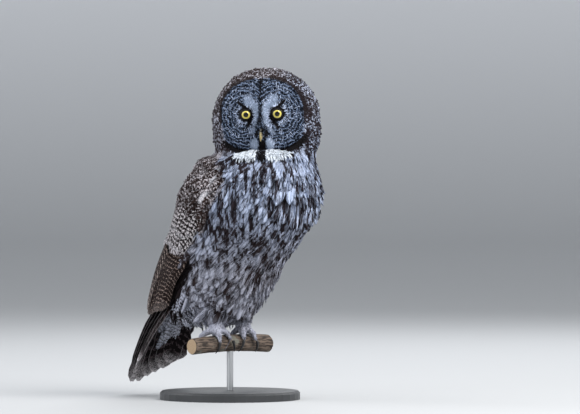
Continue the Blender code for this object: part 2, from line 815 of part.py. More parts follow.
def build_leg(side, name):
    """The feathered shank from the belly to the ankle, with the soft locks that hang behind it."""
    foot = side * FOOT_SPREAD
    foot_top = PERCH_TOP + ANKLE_RISE + GAP
    path = [Vector((foot * spread, back, foot_top + rise))
            for spread, back, rise in zip(SHANK_SPREADS, SHANK_BACKS, SHANK_RISES)]
    parts = [tube("leg", path, SHANK_RADII, 12)]
    draw = random.Random(5)
    for index in range(LOCKS):
        spread = index / (LOCKS - 1) - 0.5
        root = Vector((foot * (1.0 + 0.5 * spread), 0.022, foot_top + 0.034))
        tip = Vector((foot * (1.0 + 0.8 * spread), 0.044 + 0.004 * abs(spread),
                      0.100 + draw.uniform(0.0, 0.012)))
        out = Vector((0.2 * spread, 1.0, 0.1))
        parts.append(straight_vane(root, tip, out, 0.0075, 4, 0.004))
    leg = join(parts, name)
    cut(leg, torso_solid(GAP))
    return dress(leg, finish(name + "_feather", (0.50, 0.50, 0.52), 0.85))


def build_perch():
    return dress(perch_solid(0.0), finish("bark", (0.16, 0.11, 0.08), 0.9))


def build_stand():
    painted = finish("stand_paint", (0.10, 0.10, 0.11), 0.45)
    steel = finish("stand_steel", (0.45, 0.45, 0.46), 0.35, 1.0)
    rim = BASE_BEVEL
    profile = ((BASE_RADIUS, 0.0), (BASE_RADIUS, BASE_THICKNESS - rim),
               (BASE_RADIUS - rim, BASE_THICKNESS))
    rings = [ring_about(Vector((0.0, 0.0, z)), Vector((0.0, 0.0, 1.0)), Vector((1.0, 0.0, 0.0)),
                        radius, 40) for radius, z in profile]
    dress(loft("stand_base", rings), painted)
    top = PERCH_TOP - PERCH_RADIUS
    path = [Vector((0.0, 0.0, BASE_THICKNESS + GAP)), Vector((0.0, 0.0, 0.05)), Vector((0.0, 0.0, top))]
    rod = tube("stand_rod", path, (ROD_RADIUS,) * 3, 20)
    cut(rod, perch_solid(GAP))
    dress(rod, steel)


def build_owl():
    clear_scene()
    build_torso()
    build_neck()
    build_head()
    build_eyes()
    build_bill()
    build_wing(-1.0, "wing_right", 3)
    build_wing(1.0, "wing_left", 4)
    build_tail()
    build_leg(-1.0, "leg_right")
    build_leg(1.0, "leg_left")
    build_foot(-1.0, "foot_right")
    build_foot(1.0, "foot_left")
    build_perch()
    build_stand()


build_owl()
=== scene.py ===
import json
import math
import random

import bmesh
import bpy
import numpy as np
from mathutils import Matrix, Vector, noise
from mathutils.bvhtree import BVHTree

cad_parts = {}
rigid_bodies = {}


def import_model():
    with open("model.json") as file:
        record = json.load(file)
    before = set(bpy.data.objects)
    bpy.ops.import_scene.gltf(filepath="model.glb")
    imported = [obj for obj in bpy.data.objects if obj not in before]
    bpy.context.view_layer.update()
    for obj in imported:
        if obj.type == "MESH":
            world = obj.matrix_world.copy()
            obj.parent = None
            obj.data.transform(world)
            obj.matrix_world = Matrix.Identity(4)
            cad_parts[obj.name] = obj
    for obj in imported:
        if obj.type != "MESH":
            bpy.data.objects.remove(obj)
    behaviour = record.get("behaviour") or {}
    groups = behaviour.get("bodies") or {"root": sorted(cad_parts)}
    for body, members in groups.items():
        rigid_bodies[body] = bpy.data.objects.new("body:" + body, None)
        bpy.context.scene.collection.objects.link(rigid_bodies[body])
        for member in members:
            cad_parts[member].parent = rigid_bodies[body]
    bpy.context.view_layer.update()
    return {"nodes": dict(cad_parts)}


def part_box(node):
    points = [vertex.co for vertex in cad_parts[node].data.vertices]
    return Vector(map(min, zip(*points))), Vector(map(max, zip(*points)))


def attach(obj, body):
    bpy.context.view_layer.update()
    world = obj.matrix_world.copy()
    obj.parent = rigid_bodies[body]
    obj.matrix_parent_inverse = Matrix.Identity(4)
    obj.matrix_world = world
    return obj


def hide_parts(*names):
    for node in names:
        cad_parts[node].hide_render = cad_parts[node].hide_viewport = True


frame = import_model()


# Studio. A camera far off at the height of the bird's breast, plain pale ground that rises
# round it into a pale wall, and soft light from large lamps and an even grey sky.
# All of it is stage and no part of the model.
VIEW_TURN = math.radians(-45.0)
VIEW_LIFT = math.radians(0.8)
VIEW_DISTANCE = 9.0
VIEW_WIDTH = 1.073
SENSOR = 36.0
image_right = Vector((math.cos(VIEW_TURN), math.sin(VIEW_TURN), 0.0))
view_from = Vector((math.sin(VIEW_TURN) * math.cos(VIEW_LIFT),
                    -math.cos(VIEW_TURN) * math.cos(VIEW_LIFT), math.sin(VIEW_LIFT)))
view_middle = image_right * 0.111 + Vector((0.0, 0.0, 0.3556))

camera_data = bpy.data.cameras.new("camera")
camera_data.sensor_width = SENSOR
camera_data.lens = SENSOR * VIEW_DISTANCE / VIEW_WIDTH
camera_data.clip_end = 60.0
camera = bpy.data.objects.new("camera", camera_data)
bpy.context.scene.collection.objects.link(camera)
camera.location = view_middle + view_from * VIEW_DISTANCE
camera.rotation_euler = (-view_from).to_track_quat("-Z", "Y").to_euler()
bpy.context.scene.camera = camera


def add_mesh(name, points, faces):
    """A mesh object from points and faces, linked at the origin."""
    mesh = bpy.data.meshes.new(name)
    mesh.from_pydata([tuple(point) for point in points], [], [tuple(face) for face in faces])
    mesh.validate()
    thing = bpy.data.objects.new(name, mesh)
    bpy.context.scene.collection.objects.link(thing)
    return thing


def smooth(thing):
    thing.data.polygons.foreach_set("use_smooth", [True] * len(thing.data.polygons))
    return thing


def ring_bands(rings, sides, start=0, flip=False):
    """Faces between each ring of points and the next."""
    faces = []
    for row in range(rings - 1):
        for side in range(sides):
            a = start + row * sides + side
            b = start + row * sides + (side + 1) % sides
            faces.append((a, a + sides, b + sides, b) if flip else (a, b, b + sides, a + sides))
    return faces


class Wire:
    """A value in a node tree that can be added, subtracted, multiplied and divided."""

    def __init__(self, draw, socket):
        self.draw = draw
        self.socket = socket

    def __add__(self, other):
        return self.draw.maths("ADD", self, other)

    def __sub__(self, other):
        return self.draw.maths("SUBTRACT", self, other)

    def __rsub__(self, other):
        return self.draw.maths("SUBTRACT", other, self)

    def __mul__(self, other):
        return self.draw.maths("MULTIPLY", self, other)

    def __truediv__(self, other):
        return self.draw.maths("DIVIDE", self, other)


class Sketch:
    """Short ways to lay out maths, noise and mixes in one node tree."""

    def __init__(self, tree):
        self.tree = tree

    def fill(self, node, inputs):
        """Put a value or a wire on each named input of a node."""
        for key, value in inputs.items():
            socket = node.inputs[key]
            if isinstance(value, Wire):
                self.tree.links.new(value.socket, socket)
            elif socket.type == "RGBA":
                socket.default_value = (*value, 1.0)
            else:
                socket.default_value = value

    def node(self, kind, inputs=None, **settings):
        node = self.tree.nodes.new(kind)
        for key, value in settings.items():
            setattr(node, key, value)
        self.fill(node, inputs or {})
        return node

    def wire(self, kind, inputs=None, output=0, **settings):
        """One output of a new node."""
        return Wire(self, self.node(kind, inputs, **settings).outputs[output])

    def maths(self, operation, first, second=0.0, clamp=False):
        return self.wire("ShaderNodeMath", {0: first, 1: second}, operation=operation, use_clamp=clamp)

    def step(self, value, low, high):
        """0 below low, 1 above high, smooth between."""
        inputs = {"Value": value, "From Min": low, "From Max": high}
        return self.wire("ShaderNodeMapRange", inputs, interpolation_type="SMOOTHSTEP")

    def wave(self, turns):
        return self.maths("SINE", turns * math.tau)

    def mix(self, share, first, second):
        return self.wire("ShaderNodeMix", {0: share, 6: first, 7: second}, 2, data_type="RGBA")

    def noise(self, place, scale, detail=2.0, stretch=None):
        if stretch is not None:
            place = self.wire("ShaderNodeMapping", {"Vector": place, "Scale": stretch})
        return self.wire("ShaderNodeTexNoise", {"Vector": place, "Scale": scale, "Detail": detail})

    def split(self, vector):
        node = self.node("ShaderNodeSeparateXYZ", {0: vector})
        return [Wire(self, socket) for socket in node.outputs]

    def place(self):
        return self.wire("ShaderNodeTexCoord", output="Object")

    def vane(self):
        return self.wire("ShaderNodeUVMap", uv_map="Vane")

    def attribute(self, name):
        return self.wire("ShaderNodeAttribute", output="Fac", attribute_name=name)

    def bump(self, height, strength, distance):
        inputs = {"Height": height, "Strength": strength, "Distance": distance}
        return self.wire("ShaderNodeBump", inputs)


def new_material(name, colour, roughness):
    """A material with its sketch, its shader, and an even colour to start from."""
    material = bpy.data.materials.new(name)
    material.use_nodes = True
    draw = Sketch(material.node_tree)
    shader = material.node_tree.nodes["Principled BSDF"]
    draw.fill(shader, {"Base Color": colour, "Roughness": roughness})
    return material, draw, shader


def studio_ground():
    """A round floor that curves up into a wall beyond the camera."""
    floor_reach, bend, wall_top, sides, bend_steps = 13.0, 5.0, 9.0, 96, 16
    profile = [(floor_reach * share, 0.0) for share in (0.02, 0.1, 0.4, 0.7, 1.0)]
    for step in range(1, bend_steps + 1):
        turn = 0.5 * math.pi * step / bend_steps
        profile.append((floor_reach + bend * math.sin(turn), bend * (1.0 - math.cos(turn))))
    profile.append((floor_reach + bend, wall_top))
    points = [(0.0, 0.0, 0.0)]
    for reach, rise in profile:
        for side in range(sides):
            turn = math.tau * side / sides
            points.append((reach * math.cos(turn), reach * math.sin(turn), rise))
    faces = [(0, 1 + side, 1 + (side + 1) % sides) for side in range(sides)]
    faces += ring_bands(len(profile), sides, 1, flip=True)
    ground = smooth(add_mesh("studio_ground", points, faces))
    material, draw, shader = new_material("studio_paper", (0.74, 0.75, 0.76), 0.95)
    rise = draw.wire("ShaderNodeMapRange", {"Value": draw.split(draw.place())[2], "From Max": 1.2})
    draw.fill(shader, {"Base Color": draw.mix(rise, (0.50, 0.51, 0.52), (0.93, 0.94, 0.96))})
    ground.data.materials.append(material)
    return ground


studio_ground()


def soft_lamp(name, turn, lift, distance, size, power, colour):
    """A large square lamp aimed at the bird from a turn and a lift in degrees."""
    lamp_data = bpy.data.lights.new(name, "AREA")
    lamp_data.energy = power
    lamp_data.size = size
    lamp_data.color = colour
    lamp = bpy.data.objects.new(name, lamp_data)
    turn, lift = math.radians(turn), math.radians(lift)
    away = Vector((math.sin(turn) * math.cos(lift), -math.cos(turn) * math.cos(lift), math.sin(lift)))
    lamp.location = view_middle + away * distance
    lamp.rotation_euler = away.to_track_quat("Z", "Y").to_euler()
    bpy.context.scene.collection.objects.link(lamp)


soft_lamp("key_lamp", 2.0, 40.0, 3.2, 2.0, 118.0, (1.0, 0.99, 0.97))
soft_lamp("fill_lamp", -100.0, 18.0, 3.6, 2.4, 34.0, (0.94, 0.97, 1.0))
soft_lamp("rim_lamp", 120.0, 40.0, 3.4, 1.8, 55.0, (0.97, 0.98, 1.0))
soft_lamp("back_lamp", 215.0, 30.0, 3.6, 2.4, 40.0, (0.98, 0.98, 1.0))
world = bpy.data.worlds.new("sky")
world.use_nodes = True
world.node_tree.nodes["Background"].inputs["Color"].default_value = (0.86, 0.89, 0.93, 1.0)
world.node_tree.nodes["Background"].inputs["Strength"].default_value = 0.62
bpy.context.scene.world = world
bpy.context.scene.view_settings.view_transform = "Standard"


# Skin. In life it is thin skin over muscle, and here one closed form of the head, neck,
# body, wing arms, tail root, legs and toes, made from the solids and sunk below them by the
# depth of the plumage, so that every feather has something to root in.
BODY_STATIONS = ((-0.080, 0.441, 9, 0.108, 0.108, 0.116), (-0.065, 0.405, 24, 0.126, 0.114, 0.141),
                 (-0.044, 0.362, 32, 0.130, 0.115, 0.129))
WING_STATIONS = BODY_STATIONS + (
    (-0.016, 0.315, 38, 0.121, 0.108, 0.134), (0.020, 0.270, 43, 0.104, 0.098, 0.125),
    (0.064, 0.236, 42, 0.086, 0.086, 0.090), (0.104, 0.202, 34, 0.060, 0.078, 0.060),
    (0.132, 0.167, 26, 0.044, 0.070, 0.046), (0.150, 0.134, 22, 0.031, 0.068, 0.034))
HEAD_CENTRE = Vector((0.0, -0.0945, 0.527))
HEAD_TURN = math.radians(53.0)
HEAD_ROLL = math.radians(1.6)
head_forward = Vector((-math.sin(HEAD_TURN), -math.cos(HEAD_TURN), 0.0))
head_crown = Matrix.Rotation(HEAD_ROLL, 3, head_forward) @ Vector((0.0, 0.0, 1.0))
head_left = head_crown.cross(head_forward).normalized()
HEAD_AXES = np.array([head_left, head_forward, head_crown])
EYE_SIDE = 0.0289
EYE_FORWARD = 0.0555
EYE_RADIUS = 0.0105
FOOT_SPREAD = 0.034
PERCH_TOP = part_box("perch")[1].z
SKIN_VOXEL = 0.0025


def station(rows, at):
    """One row of numbers read on a smooth curve through a table of rows."""
    last = len(rows) - 1
    at = min(max(at, 0.0), last)
    index = min(int(at), last - 1)
    part = at - index
    p, q, r, s = (np.array(rows[min(max(index + step, 0), last)], float) for step in (-1, 0, 1, 2))
    bend = 2.0 * q + (r - p) * part + (2.0 * p - 5.0 * q + 4.0 * r - s) * part ** 2
    return 0.5 * (bend + (3.0 * q - p - 3.0 * r + s) * part ** 3)


def on_wing(at, angle, height, side):
    """A point over the closed wing, by station and by angle from the middle of the back."""
    y, z, lean, half_width, back, belly = station(WING_STATIONS, at)
    lean = math.radians(lean)
    depth = back if math.cos(angle) > 0.0 else belly
    reach = (depth + height) * math.cos(angle)
    x = side * (half_width + height) * math.sin(angle)
    return Vector((x, y + reach * math.cos(lean), z + reach * math.sin(lean)))


def in_head(left, forward, crown):
    return HEAD_CENTRE + head_left * left + head_forward * forward + head_crown * crown


def ring_points(centre, along, sideways, across, deep, sides):
    """Points of an oval ring square to a line."""
    along = along.normalized()
    sideways = (sideways - along * sideways.dot(along)).normalized()
    other = along.cross(sideways)
    turns = [math.tau * step / sides for step in range(sides)]
    return [centre + sideways * math.cos(turn) * across + other * math.sin(turn) * deep
            for turn in turns]


def ring_faces(rings, sides, start=0):
    """Faces of a closed tube of rings, with both ends filled."""
    faces = ring_bands(rings, sides, start)
    faces.append(tuple(start + side for side in reversed(range(sides))))
    faces.append(tuple(start + (rings - 1) * sides + side for side in range(sides)))
    return faces


def tube(name, path, across, deep, sides, sideways):
    """A closed tube along a path, its ends filled."""
    points = []
    for index, centre in enumerate(path):
        along = path[min(index + 1, len(path) - 1)] - path[max(index - 1, 0)]
        points += ring_points(centre, along, sideways, across[index], deep[index], sides)
    return add_mesh(name, points, ring_faces(len(path), sides))


def wing_arm(side):
    """The flesh of one folded wing, an oval pad that lies on the flank."""
    rows, columns, first, last, thick = 14, 9, 0.95, 5.2, 0.0046
    points = []
    for row in range(rows):
        share = row / (rows - 1)
        at = first + (last - first) * share
        upper = math.radians(9.0 + 24.0 * max(0.0, 1.0 - at / 1.8) ** 1.4)
        lower = math.radians(90.0 + 13.0 * math.sin(math.pi * min(1.0, share * 1.1)))
        swell = 0.35 + 0.65 * math.sin(math.pi * min(0.5, 0.06 + share * 1.3))
        rim = [on_wing(at, upper + (lower - upper) * column / (columns - 1),
                       thick * swell * math.sin(math.pi * (column + 0.6) / (columns + 0.2)) ** 0.5, side)
               for column in range(columns)]
        under = [on_wing(at, upper + (lower - upper) * column / (columns - 1), -0.016, side)
                 for column in reversed(range(columns))]
        points += rim + under
    return add_mesh("wing_arm", points, ring_faces(rows, columns * 2))


def skin_parts():
    """Copies of the fleshy solids, with plain cores where the solids carry feathers."""
    parts = []
    for node in ("head", "neck", "torso", "foot_left", "foot_right"):
        mesh = frame["nodes"][node].data.copy()
        copy = bpy.data.objects.new("skin_part", mesh)
        bpy.context.scene.collection.objects.link(copy)
        parts.append(copy)
    tail_path = [Vector((0.0, y, z)) for y, z in ((0.085, 0.235), (0.112, 0.210), (0.140, 0.176),
                                                   (0.162, 0.140), (0.172, 0.116))]
    parts.append(tube("tail_root", tail_path, (0.034, 0.030, 0.026, 0.020, 0.010),
                      (0.030, 0.028, 0.026, 0.019, 0.008), 20, Vector((1.0, 0.0, 0.0))))
    for side in (1.0, -1.0):
        parts.append(wing_arm(side))
        foot = side * FOOT_SPREAD
        shank = [Vector((foot * spread, back, PERCH_TOP + rise)) for spread, back, rise in
                 ((1.0, 0.0, 0.012), (1.0, 0.0, 0.030), (1.05, 0.008, 0.055), (1.08, 0.018, 0.100))]
        thick = (0.0150, 0.0165, 0.0230, 0.0270)
        parts.append(tube("shank", shank, thick, thick, 16, Vector((1.0, 0.0, 0.0))))
    return parts


def build_skin():
    """One closed mesh from all the parts, by a voxel remesh that leaves no seam."""
    whole = bmesh.new()
    for part in skin_parts():
        piece = bmesh.new()
        piece.from_mesh(part.data)
        bmesh.ops.remove_doubles(piece, verts=piece.verts, dist=0.00002)
        bmesh.ops.recalc_face_normals(piece, faces=piece.faces)
        piece.normal_update()
        for vert in piece.verts:
            vert.co += vert.normal * 0.0007
        piece.to_mesh(part.data)
        piece.free()
        whole.from_mesh(part.data)
        bpy.data.objects.remove(part, do_unlink=True)
    skin = add_mesh("skin", [], [])
    whole.to_mesh(skin.data)
    whole.free()
    remesh = skin.modifiers.new("remesh", "REMESH")
    remesh.mode = "VOXEL"
    remesh.voxel_size = SKIN_VOXEL
    soften = skin.modifiers.new("soften", "SMOOTH")
    soften.factor = 0.5
    soften.iterations = 6
    graph = bpy.context.evaluated_depsgraph_get()
    mesh = bpy.data.meshes.new_from_object(skin.evaluated_get(graph))
    skin.modifiers.clear()
    skin.data = mesh
    return skin


skin = build_skin()


def mesh_arrays(mesh):
    """Places and normals of a mesh's points, as arrays."""
    count = len(mesh.vertices)
    places = np.empty(count * 3)
    normals = np.empty(count * 3)
    mesh.vertices.foreach_get("co", places)
    mesh.vertices.foreach_get("normal", normals)
    return places.reshape(-1, 3), normals.reshape(-1, 3)


def soft_step(low, high, values):
    share = np.clip((values - low) / (high - low), 0.0, 1.0)
    return share * share * (3.0 - 2.0 * share)


def spread_over(mesh, values, rounds):
    """Even a value out over the neighbouring points of a mesh."""
    edges = np.empty(len(mesh.edges) * 2, int)
    mesh.edges.foreach_get("vertices", edges)
    edges = edges.reshape(-1, 2)
    count = np.zeros(len(values))
    np.add.at(count, edges.ravel(), 1.0)
    count = np.maximum(count, 1.0)[:, None] if values.ndim > 1 else np.maximum(count, 1.0)
    for _ in range(rounds):
        total = np.zeros_like(values)
        np.add.at(total, edges[:, 0], values[edges[:, 1]])
        np.add.at(total, edges[:, 1], values[edges[:, 0]])
        values = 0.5 * values + 0.5 * total / count
    return values


def near_wing(places):
    """1 where a point lies on one of the wing arms, 0 well away from them."""
    found = np.zeros(len(places))
    for side in (1.0, -1.0):
        arm = wing_arm(side)
        tree = BVHTree.FromPolygons([vert.co[:] for vert in arm.data.vertices],
                                    [face.vertices[:] for face in arm.data.polygons])
        bpy.data.objects.remove(arm, do_unlink=True)
        for index in np.flatnonzero((places[:, 0] * side > 0.0) & (places[:, 2] < 0.46)):
            distance = tree.find_nearest(Vector(places[index]), 0.006)[3]
            if distance is not None and distance < 0.0022:
                found[index] = 1.0
    return found


def from_head(places):
    """Places in the head's own frame: to its left, forward, and up to its crown."""
    return (places - np.array(HEAD_CENTRE)) @ HEAD_AXES.T


def regions(places, wing):
    """How much of each point belongs to the face, head, wing, shank, foot and tail."""
    left, forward, crown = from_head(places).T
    aside = np.abs(left) / np.where(left > 0.0, 0.0765, 0.0735)
    upright = np.abs(crown) / np.where(crown > 0.0, 0.0640, 0.0680)
    square = np.where(crown > 0.0, 2.2, 3.5)
    disc = (aside ** square + upright ** square) ** (1.0 / square)
    face = soft_step(1.03, 0.97, disc) * soft_step(0.020, 0.040, forward)
    head = soft_step(-0.080, -0.055, crown)
    ankle = np.hypot(np.abs(places[:, 0]) - FOOT_SPREAD * 1.04, places[:, 1] - 0.006)
    shank = soft_step(0.036, 0.030, ankle) * soft_step(0.172, 0.160, places[:, 2])
    foot = shank * soft_step(PERCH_TOP + 0.024, PERCH_TOP + 0.016, places[:, 2])
    tail = soft_step(0.125, 0.140, places[:, 1])
    return {"face": face, "head": head, "wing": wing, "shank": shank, "foot": foot, "tail": tail,
            "left": left, "forward": forward, "crown": crown, "disc": disc}


def sink_skin():
    """Sink the skin below the solids by the depth of the plumage there."""
    places, normals = mesh_arrays(skin.data)
    wing = spread_over(skin.data, near_wing(places), 3)
    part = regions(places, wing)
    depth = np.full(len(places), 0.0100)
    shoulder = 0.0010 + 0.0120 * soft_step(0.365, 0.440, places[:, 2])
    shoulder += 0.0040 * soft_step(0.325, 0.290, places[:, 2])
    for key, here in (("head", 0.0036), ("face", 0.0024), ("wing", shoulder), ("tail", 0.0030),
                      ("shank", 0.0035), ("foot", 0.0018)):
        depth += (here - depth) * part[key]
    depth = spread_over(skin.data, depth, 6) + 0.0007
    places = places - normals * depth[:, None]
    throat = soft_step(0.034, 0.014, np.abs(places[:, 2] - 0.452)) * (1.0 - part["face"])
    evened = spread_over(skin.data, places, 60)
    places += (evened - places) * throat[:, None]
    skin.data.vertices.foreach_set("co", places.ravel())
    skin.data.update()
    return wing


on_arm = sink_skin()
smooth(skin)
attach(skin, "root")
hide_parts("head", "neck", "torso", "leg_left", "leg_right", "foot_left", "foot_right")


# Markings. The plumage is grey-white barred and streaked with dark brown: each feather has a
# dark line down its shaft and broken bars across it, and patches of the coat run darker,
# paler or warmer. The skin under the feathers carries the same markings. Each feather is also
# painted darker towards its root, as painted shade where the feathers over it would shade it.
PALE_GREY = (0.52, 0.60, 0.795)
DARK_BROWN = (0.020, 0.014, 0.018)
WARM_PALE = (0.56, 0.52, 0.55)
WARM_BROWN = (0.026, 0.015, 0.013)
CLEAN_WHITE = (0.86, 0.92, 1.0)
NEAR_BLACK = (0.006, 0.005, 0.006)
FEATHER_SHARES = ("Tone", "Dark", "Pale", "Warm", "Streak", "Bars")


def new_group(name, inputs, outputs, kind="Shader"):
    """The sketch of a node group with named sockets, its given values and its result."""
    tree = bpy.data.node_groups.new(name, kind + "NodeTree")
    for direction, sockets in (("INPUT", inputs), ("OUTPUT", outputs)):
        for socket_name, socket_kind in sockets:
            tree.interface.new_socket(name=socket_name, in_out=direction,
                                      socket_type="NodeSocket" + socket_kind)
    draw = Sketch(tree)
    sockets = tree.nodes.new("NodeGroupInput").outputs
    given = {socket.name: Wire(draw, socket) for socket in sockets}
    return draw, given, tree.nodes.new("NodeGroupOutput")


def feather_markings():
    """Colour and relief of one small feather from its place, its vane map and its shares, with painted
    shade at its root.
    """
    inputs = [("Vane", "Vector"), ("Place", "Vector")]
    inputs += [(name, "Float") for name in FEATHER_SHARES + ("Bar count", "Mottle")]
    draw, given, result = new_group("feather_markings", inputs, [("Colour", "Color"), ("Relief", "Float")])
    place = given["Place"]
    across, along = draw.split(given["Vane"])[:2]
    off_shaft = draw.maths("ABSOLUTE", across - 0.5)
    wander = draw.noise(place, 300.0, 1.0) - 0.5
    mottle = draw.noise(place, 230.0, 1.0) - 0.5
    patches = draw.noise(place, 30.0, 2.0, (1.0, 1.0, 0.6)) - 0.5
    thin_streaks = draw.noise(place, 280.0, 2.0, (1.0, 1.0, 0.12)) - 0.5
    long_streaks = draw.step(draw.noise(place, 98.0, 2.5, (1.0, 1.0, 0.13)), 0.42, 0.58)
    shaft_line = draw.step(wander * 0.22 + off_shaft, 0.20, 0.06)
    streak = draw.maths("MAXIMUM", shaft_line * 0.50, long_streaks * 0.95)
    streak = (streak + thin_streaks * 1.2) * given["Streak"]
    turns = along * given["Bar count"] + (wander - off_shaft) * 1.1 + given["Tone"]
    wave = draw.wave(turns) * 0.6 + mottle * given["Mottle"] - given["Pale"] * 0.9
    bars = draw.step(wave, -0.45, -0.15) * given["Bars"]
    depth = draw.maths("MAXIMUM", streak, bars) + patches * 1.1 + (given["Tone"] - 0.5) * 0.48
    depth = draw.step(depth + given["Dark"] * 1.3 - given["Pale"] * 0.7, 0.16, 1.00)
    ground = draw.mix(given["Warm"], PALE_GREY, WARM_PALE)
    brown = draw.mix(given["Warm"], DARK_BROWN, WARM_BROWN)
    colour = draw.mix(depth, ground, brown)
    colour = draw.mix(draw.step(given["Dark"], 0.55, 0.95), colour, NEAR_BLACK)
    colour = draw.mix(draw.step(given["Pale"], 0.35, 0.85), colour, CLEAN_WHITE)
    barbs = draw.maths("SINE", (along - off_shaft * 0.9) * 95.0)
    # painted shade: the root end of each feather darkens towards near black, as if shaded by the feathers
    # over it
    root = draw.step(along, -0.05, 0.35) * (barbs * 0.10 + 0.90)
    colour = draw.mix(1.0 - root, colour, draw.mix(0.55, colour, NEAR_BLACK))
    draw.fill(result, {"Colour": colour, "Relief": barbs})
    return draw.tree


markings_group = feather_markings()


def plumage_material(name, bar_count, mottle, roughness=0.85, vane_known=True):
    """A feather finish that reads each feather's shares from the piece's own attributes."""
    material, draw, shader = new_material(name, PALE_GREY, roughness)
    inputs = {key: draw.attribute(key.lower()) for key in FEATHER_SHARES}
    inputs.update({"Place": draw.place(), "Bar count": bar_count, "Mottle": mottle})
    inputs["Vane"] = draw.vane() if vane_known else (0.72, 0.6, 0.0)
    group = draw.node("ShaderNodeGroup", inputs, node_tree=markings_group)
    normal = draw.bump(Wire(draw, group.outputs["Relief"]), 0.35, 0.0003)
    draw.fill(shader, {"Base Color": Wire(draw, group.outputs["Colour"]), "Normal": normal,
                       "Specular IOR Level": 0.12})
    return material


# Feather shapes. A contour feather is a thin cupped vane on a shaft, and a plume is a soft
# lock of barbs. A few of each are modelled once, one unit long, and each carries a map that
# runs across and along its vane, which its markings follow.
VANE_WIDTHS = ((0.0, 0.16), (0.14, 0.36), (0.34, 0.48), (0.55, 0.50), (0.75, 0.42), (0.90, 0.24))
PLUME_WIDTHS = ((0.0, 0.30), (0.30, 0.50), (0.62, 0.40), (0.86, 0.20))
WISP_WIDTHS = ((0.0, 0.25), (0.35, 0.50), (0.75, 0.34))


def feather_shape(name, widths, thick, cup, droop, bend, draw):
    """One closed vane with a ridge for its shaft, from its root to a rounded tip."""
    points, places = [], []
    for along, half in widths:
        left = -half * (1.0 + draw.uniform(-0.10, 0.10))
        right = half * (1.0 + draw.uniform(-0.10, 0.10))
        sway = bend * along ** 2
        low = -droop * along ** 2
        points += [(left + sway, along, low - cup * abs(left)), (sway, along, low + thick),
                   (right + sway, along, low - cup * abs(right)), (sway, along, low - thick * 0.4)]
        places += [(0.5 + left, along), (0.5, along), (0.5 + right, along), (0.5, along)]
    points.append((bend, 1.0, -droop))
    places.append((0.5, 1.0))
    faces = ring_bands(len(widths), 4, flip=True)
    last, tip = (len(widths) - 1) * 4, len(points) - 1
    faces += [(last + side, tip, last + (side + 1) % 4) for side in range(4)]
    faces.append((0, 1, 2, 3))
    shape = add_mesh(name, points, faces)
    vane_map = shape.data.uv_layers.new(name="Vane")
    for loop in shape.data.loops:
        vane_map.data[loop.index].uv = places[loop.vertex_index]
    return shape


def feather_set(name, count, widths, thick, cup, droop, bend, seed):
    """A few like shapes in a collection, so that no two neighbours match."""
    draw = random.Random(seed)
    group = bpy.data.collections.new(name)
    for index in range(count):
        shape = feather_shape(name + str(index), widths, thick, cup,
                              droop * draw.uniform(0.6, 1.4), bend * draw.uniform(-1.0, 1.0), draw)
        bpy.context.scene.collection.objects.unlink(shape)
        group.objects.link(shape)
    return group


contour_set = feather_set("contour", 4, VANE_WIDTHS, 0.020, 0.16, 0.10, 0.10, 3)
plume_set = feather_set("plume", 4, PLUME_WIDTHS, 0.030, 0.10, 0.16, 0.55, 5)
wisp_set = feather_set("wisp", 4, WISP_WIDTHS, 0.016, 0.10, 0.14, 0.9, 7)


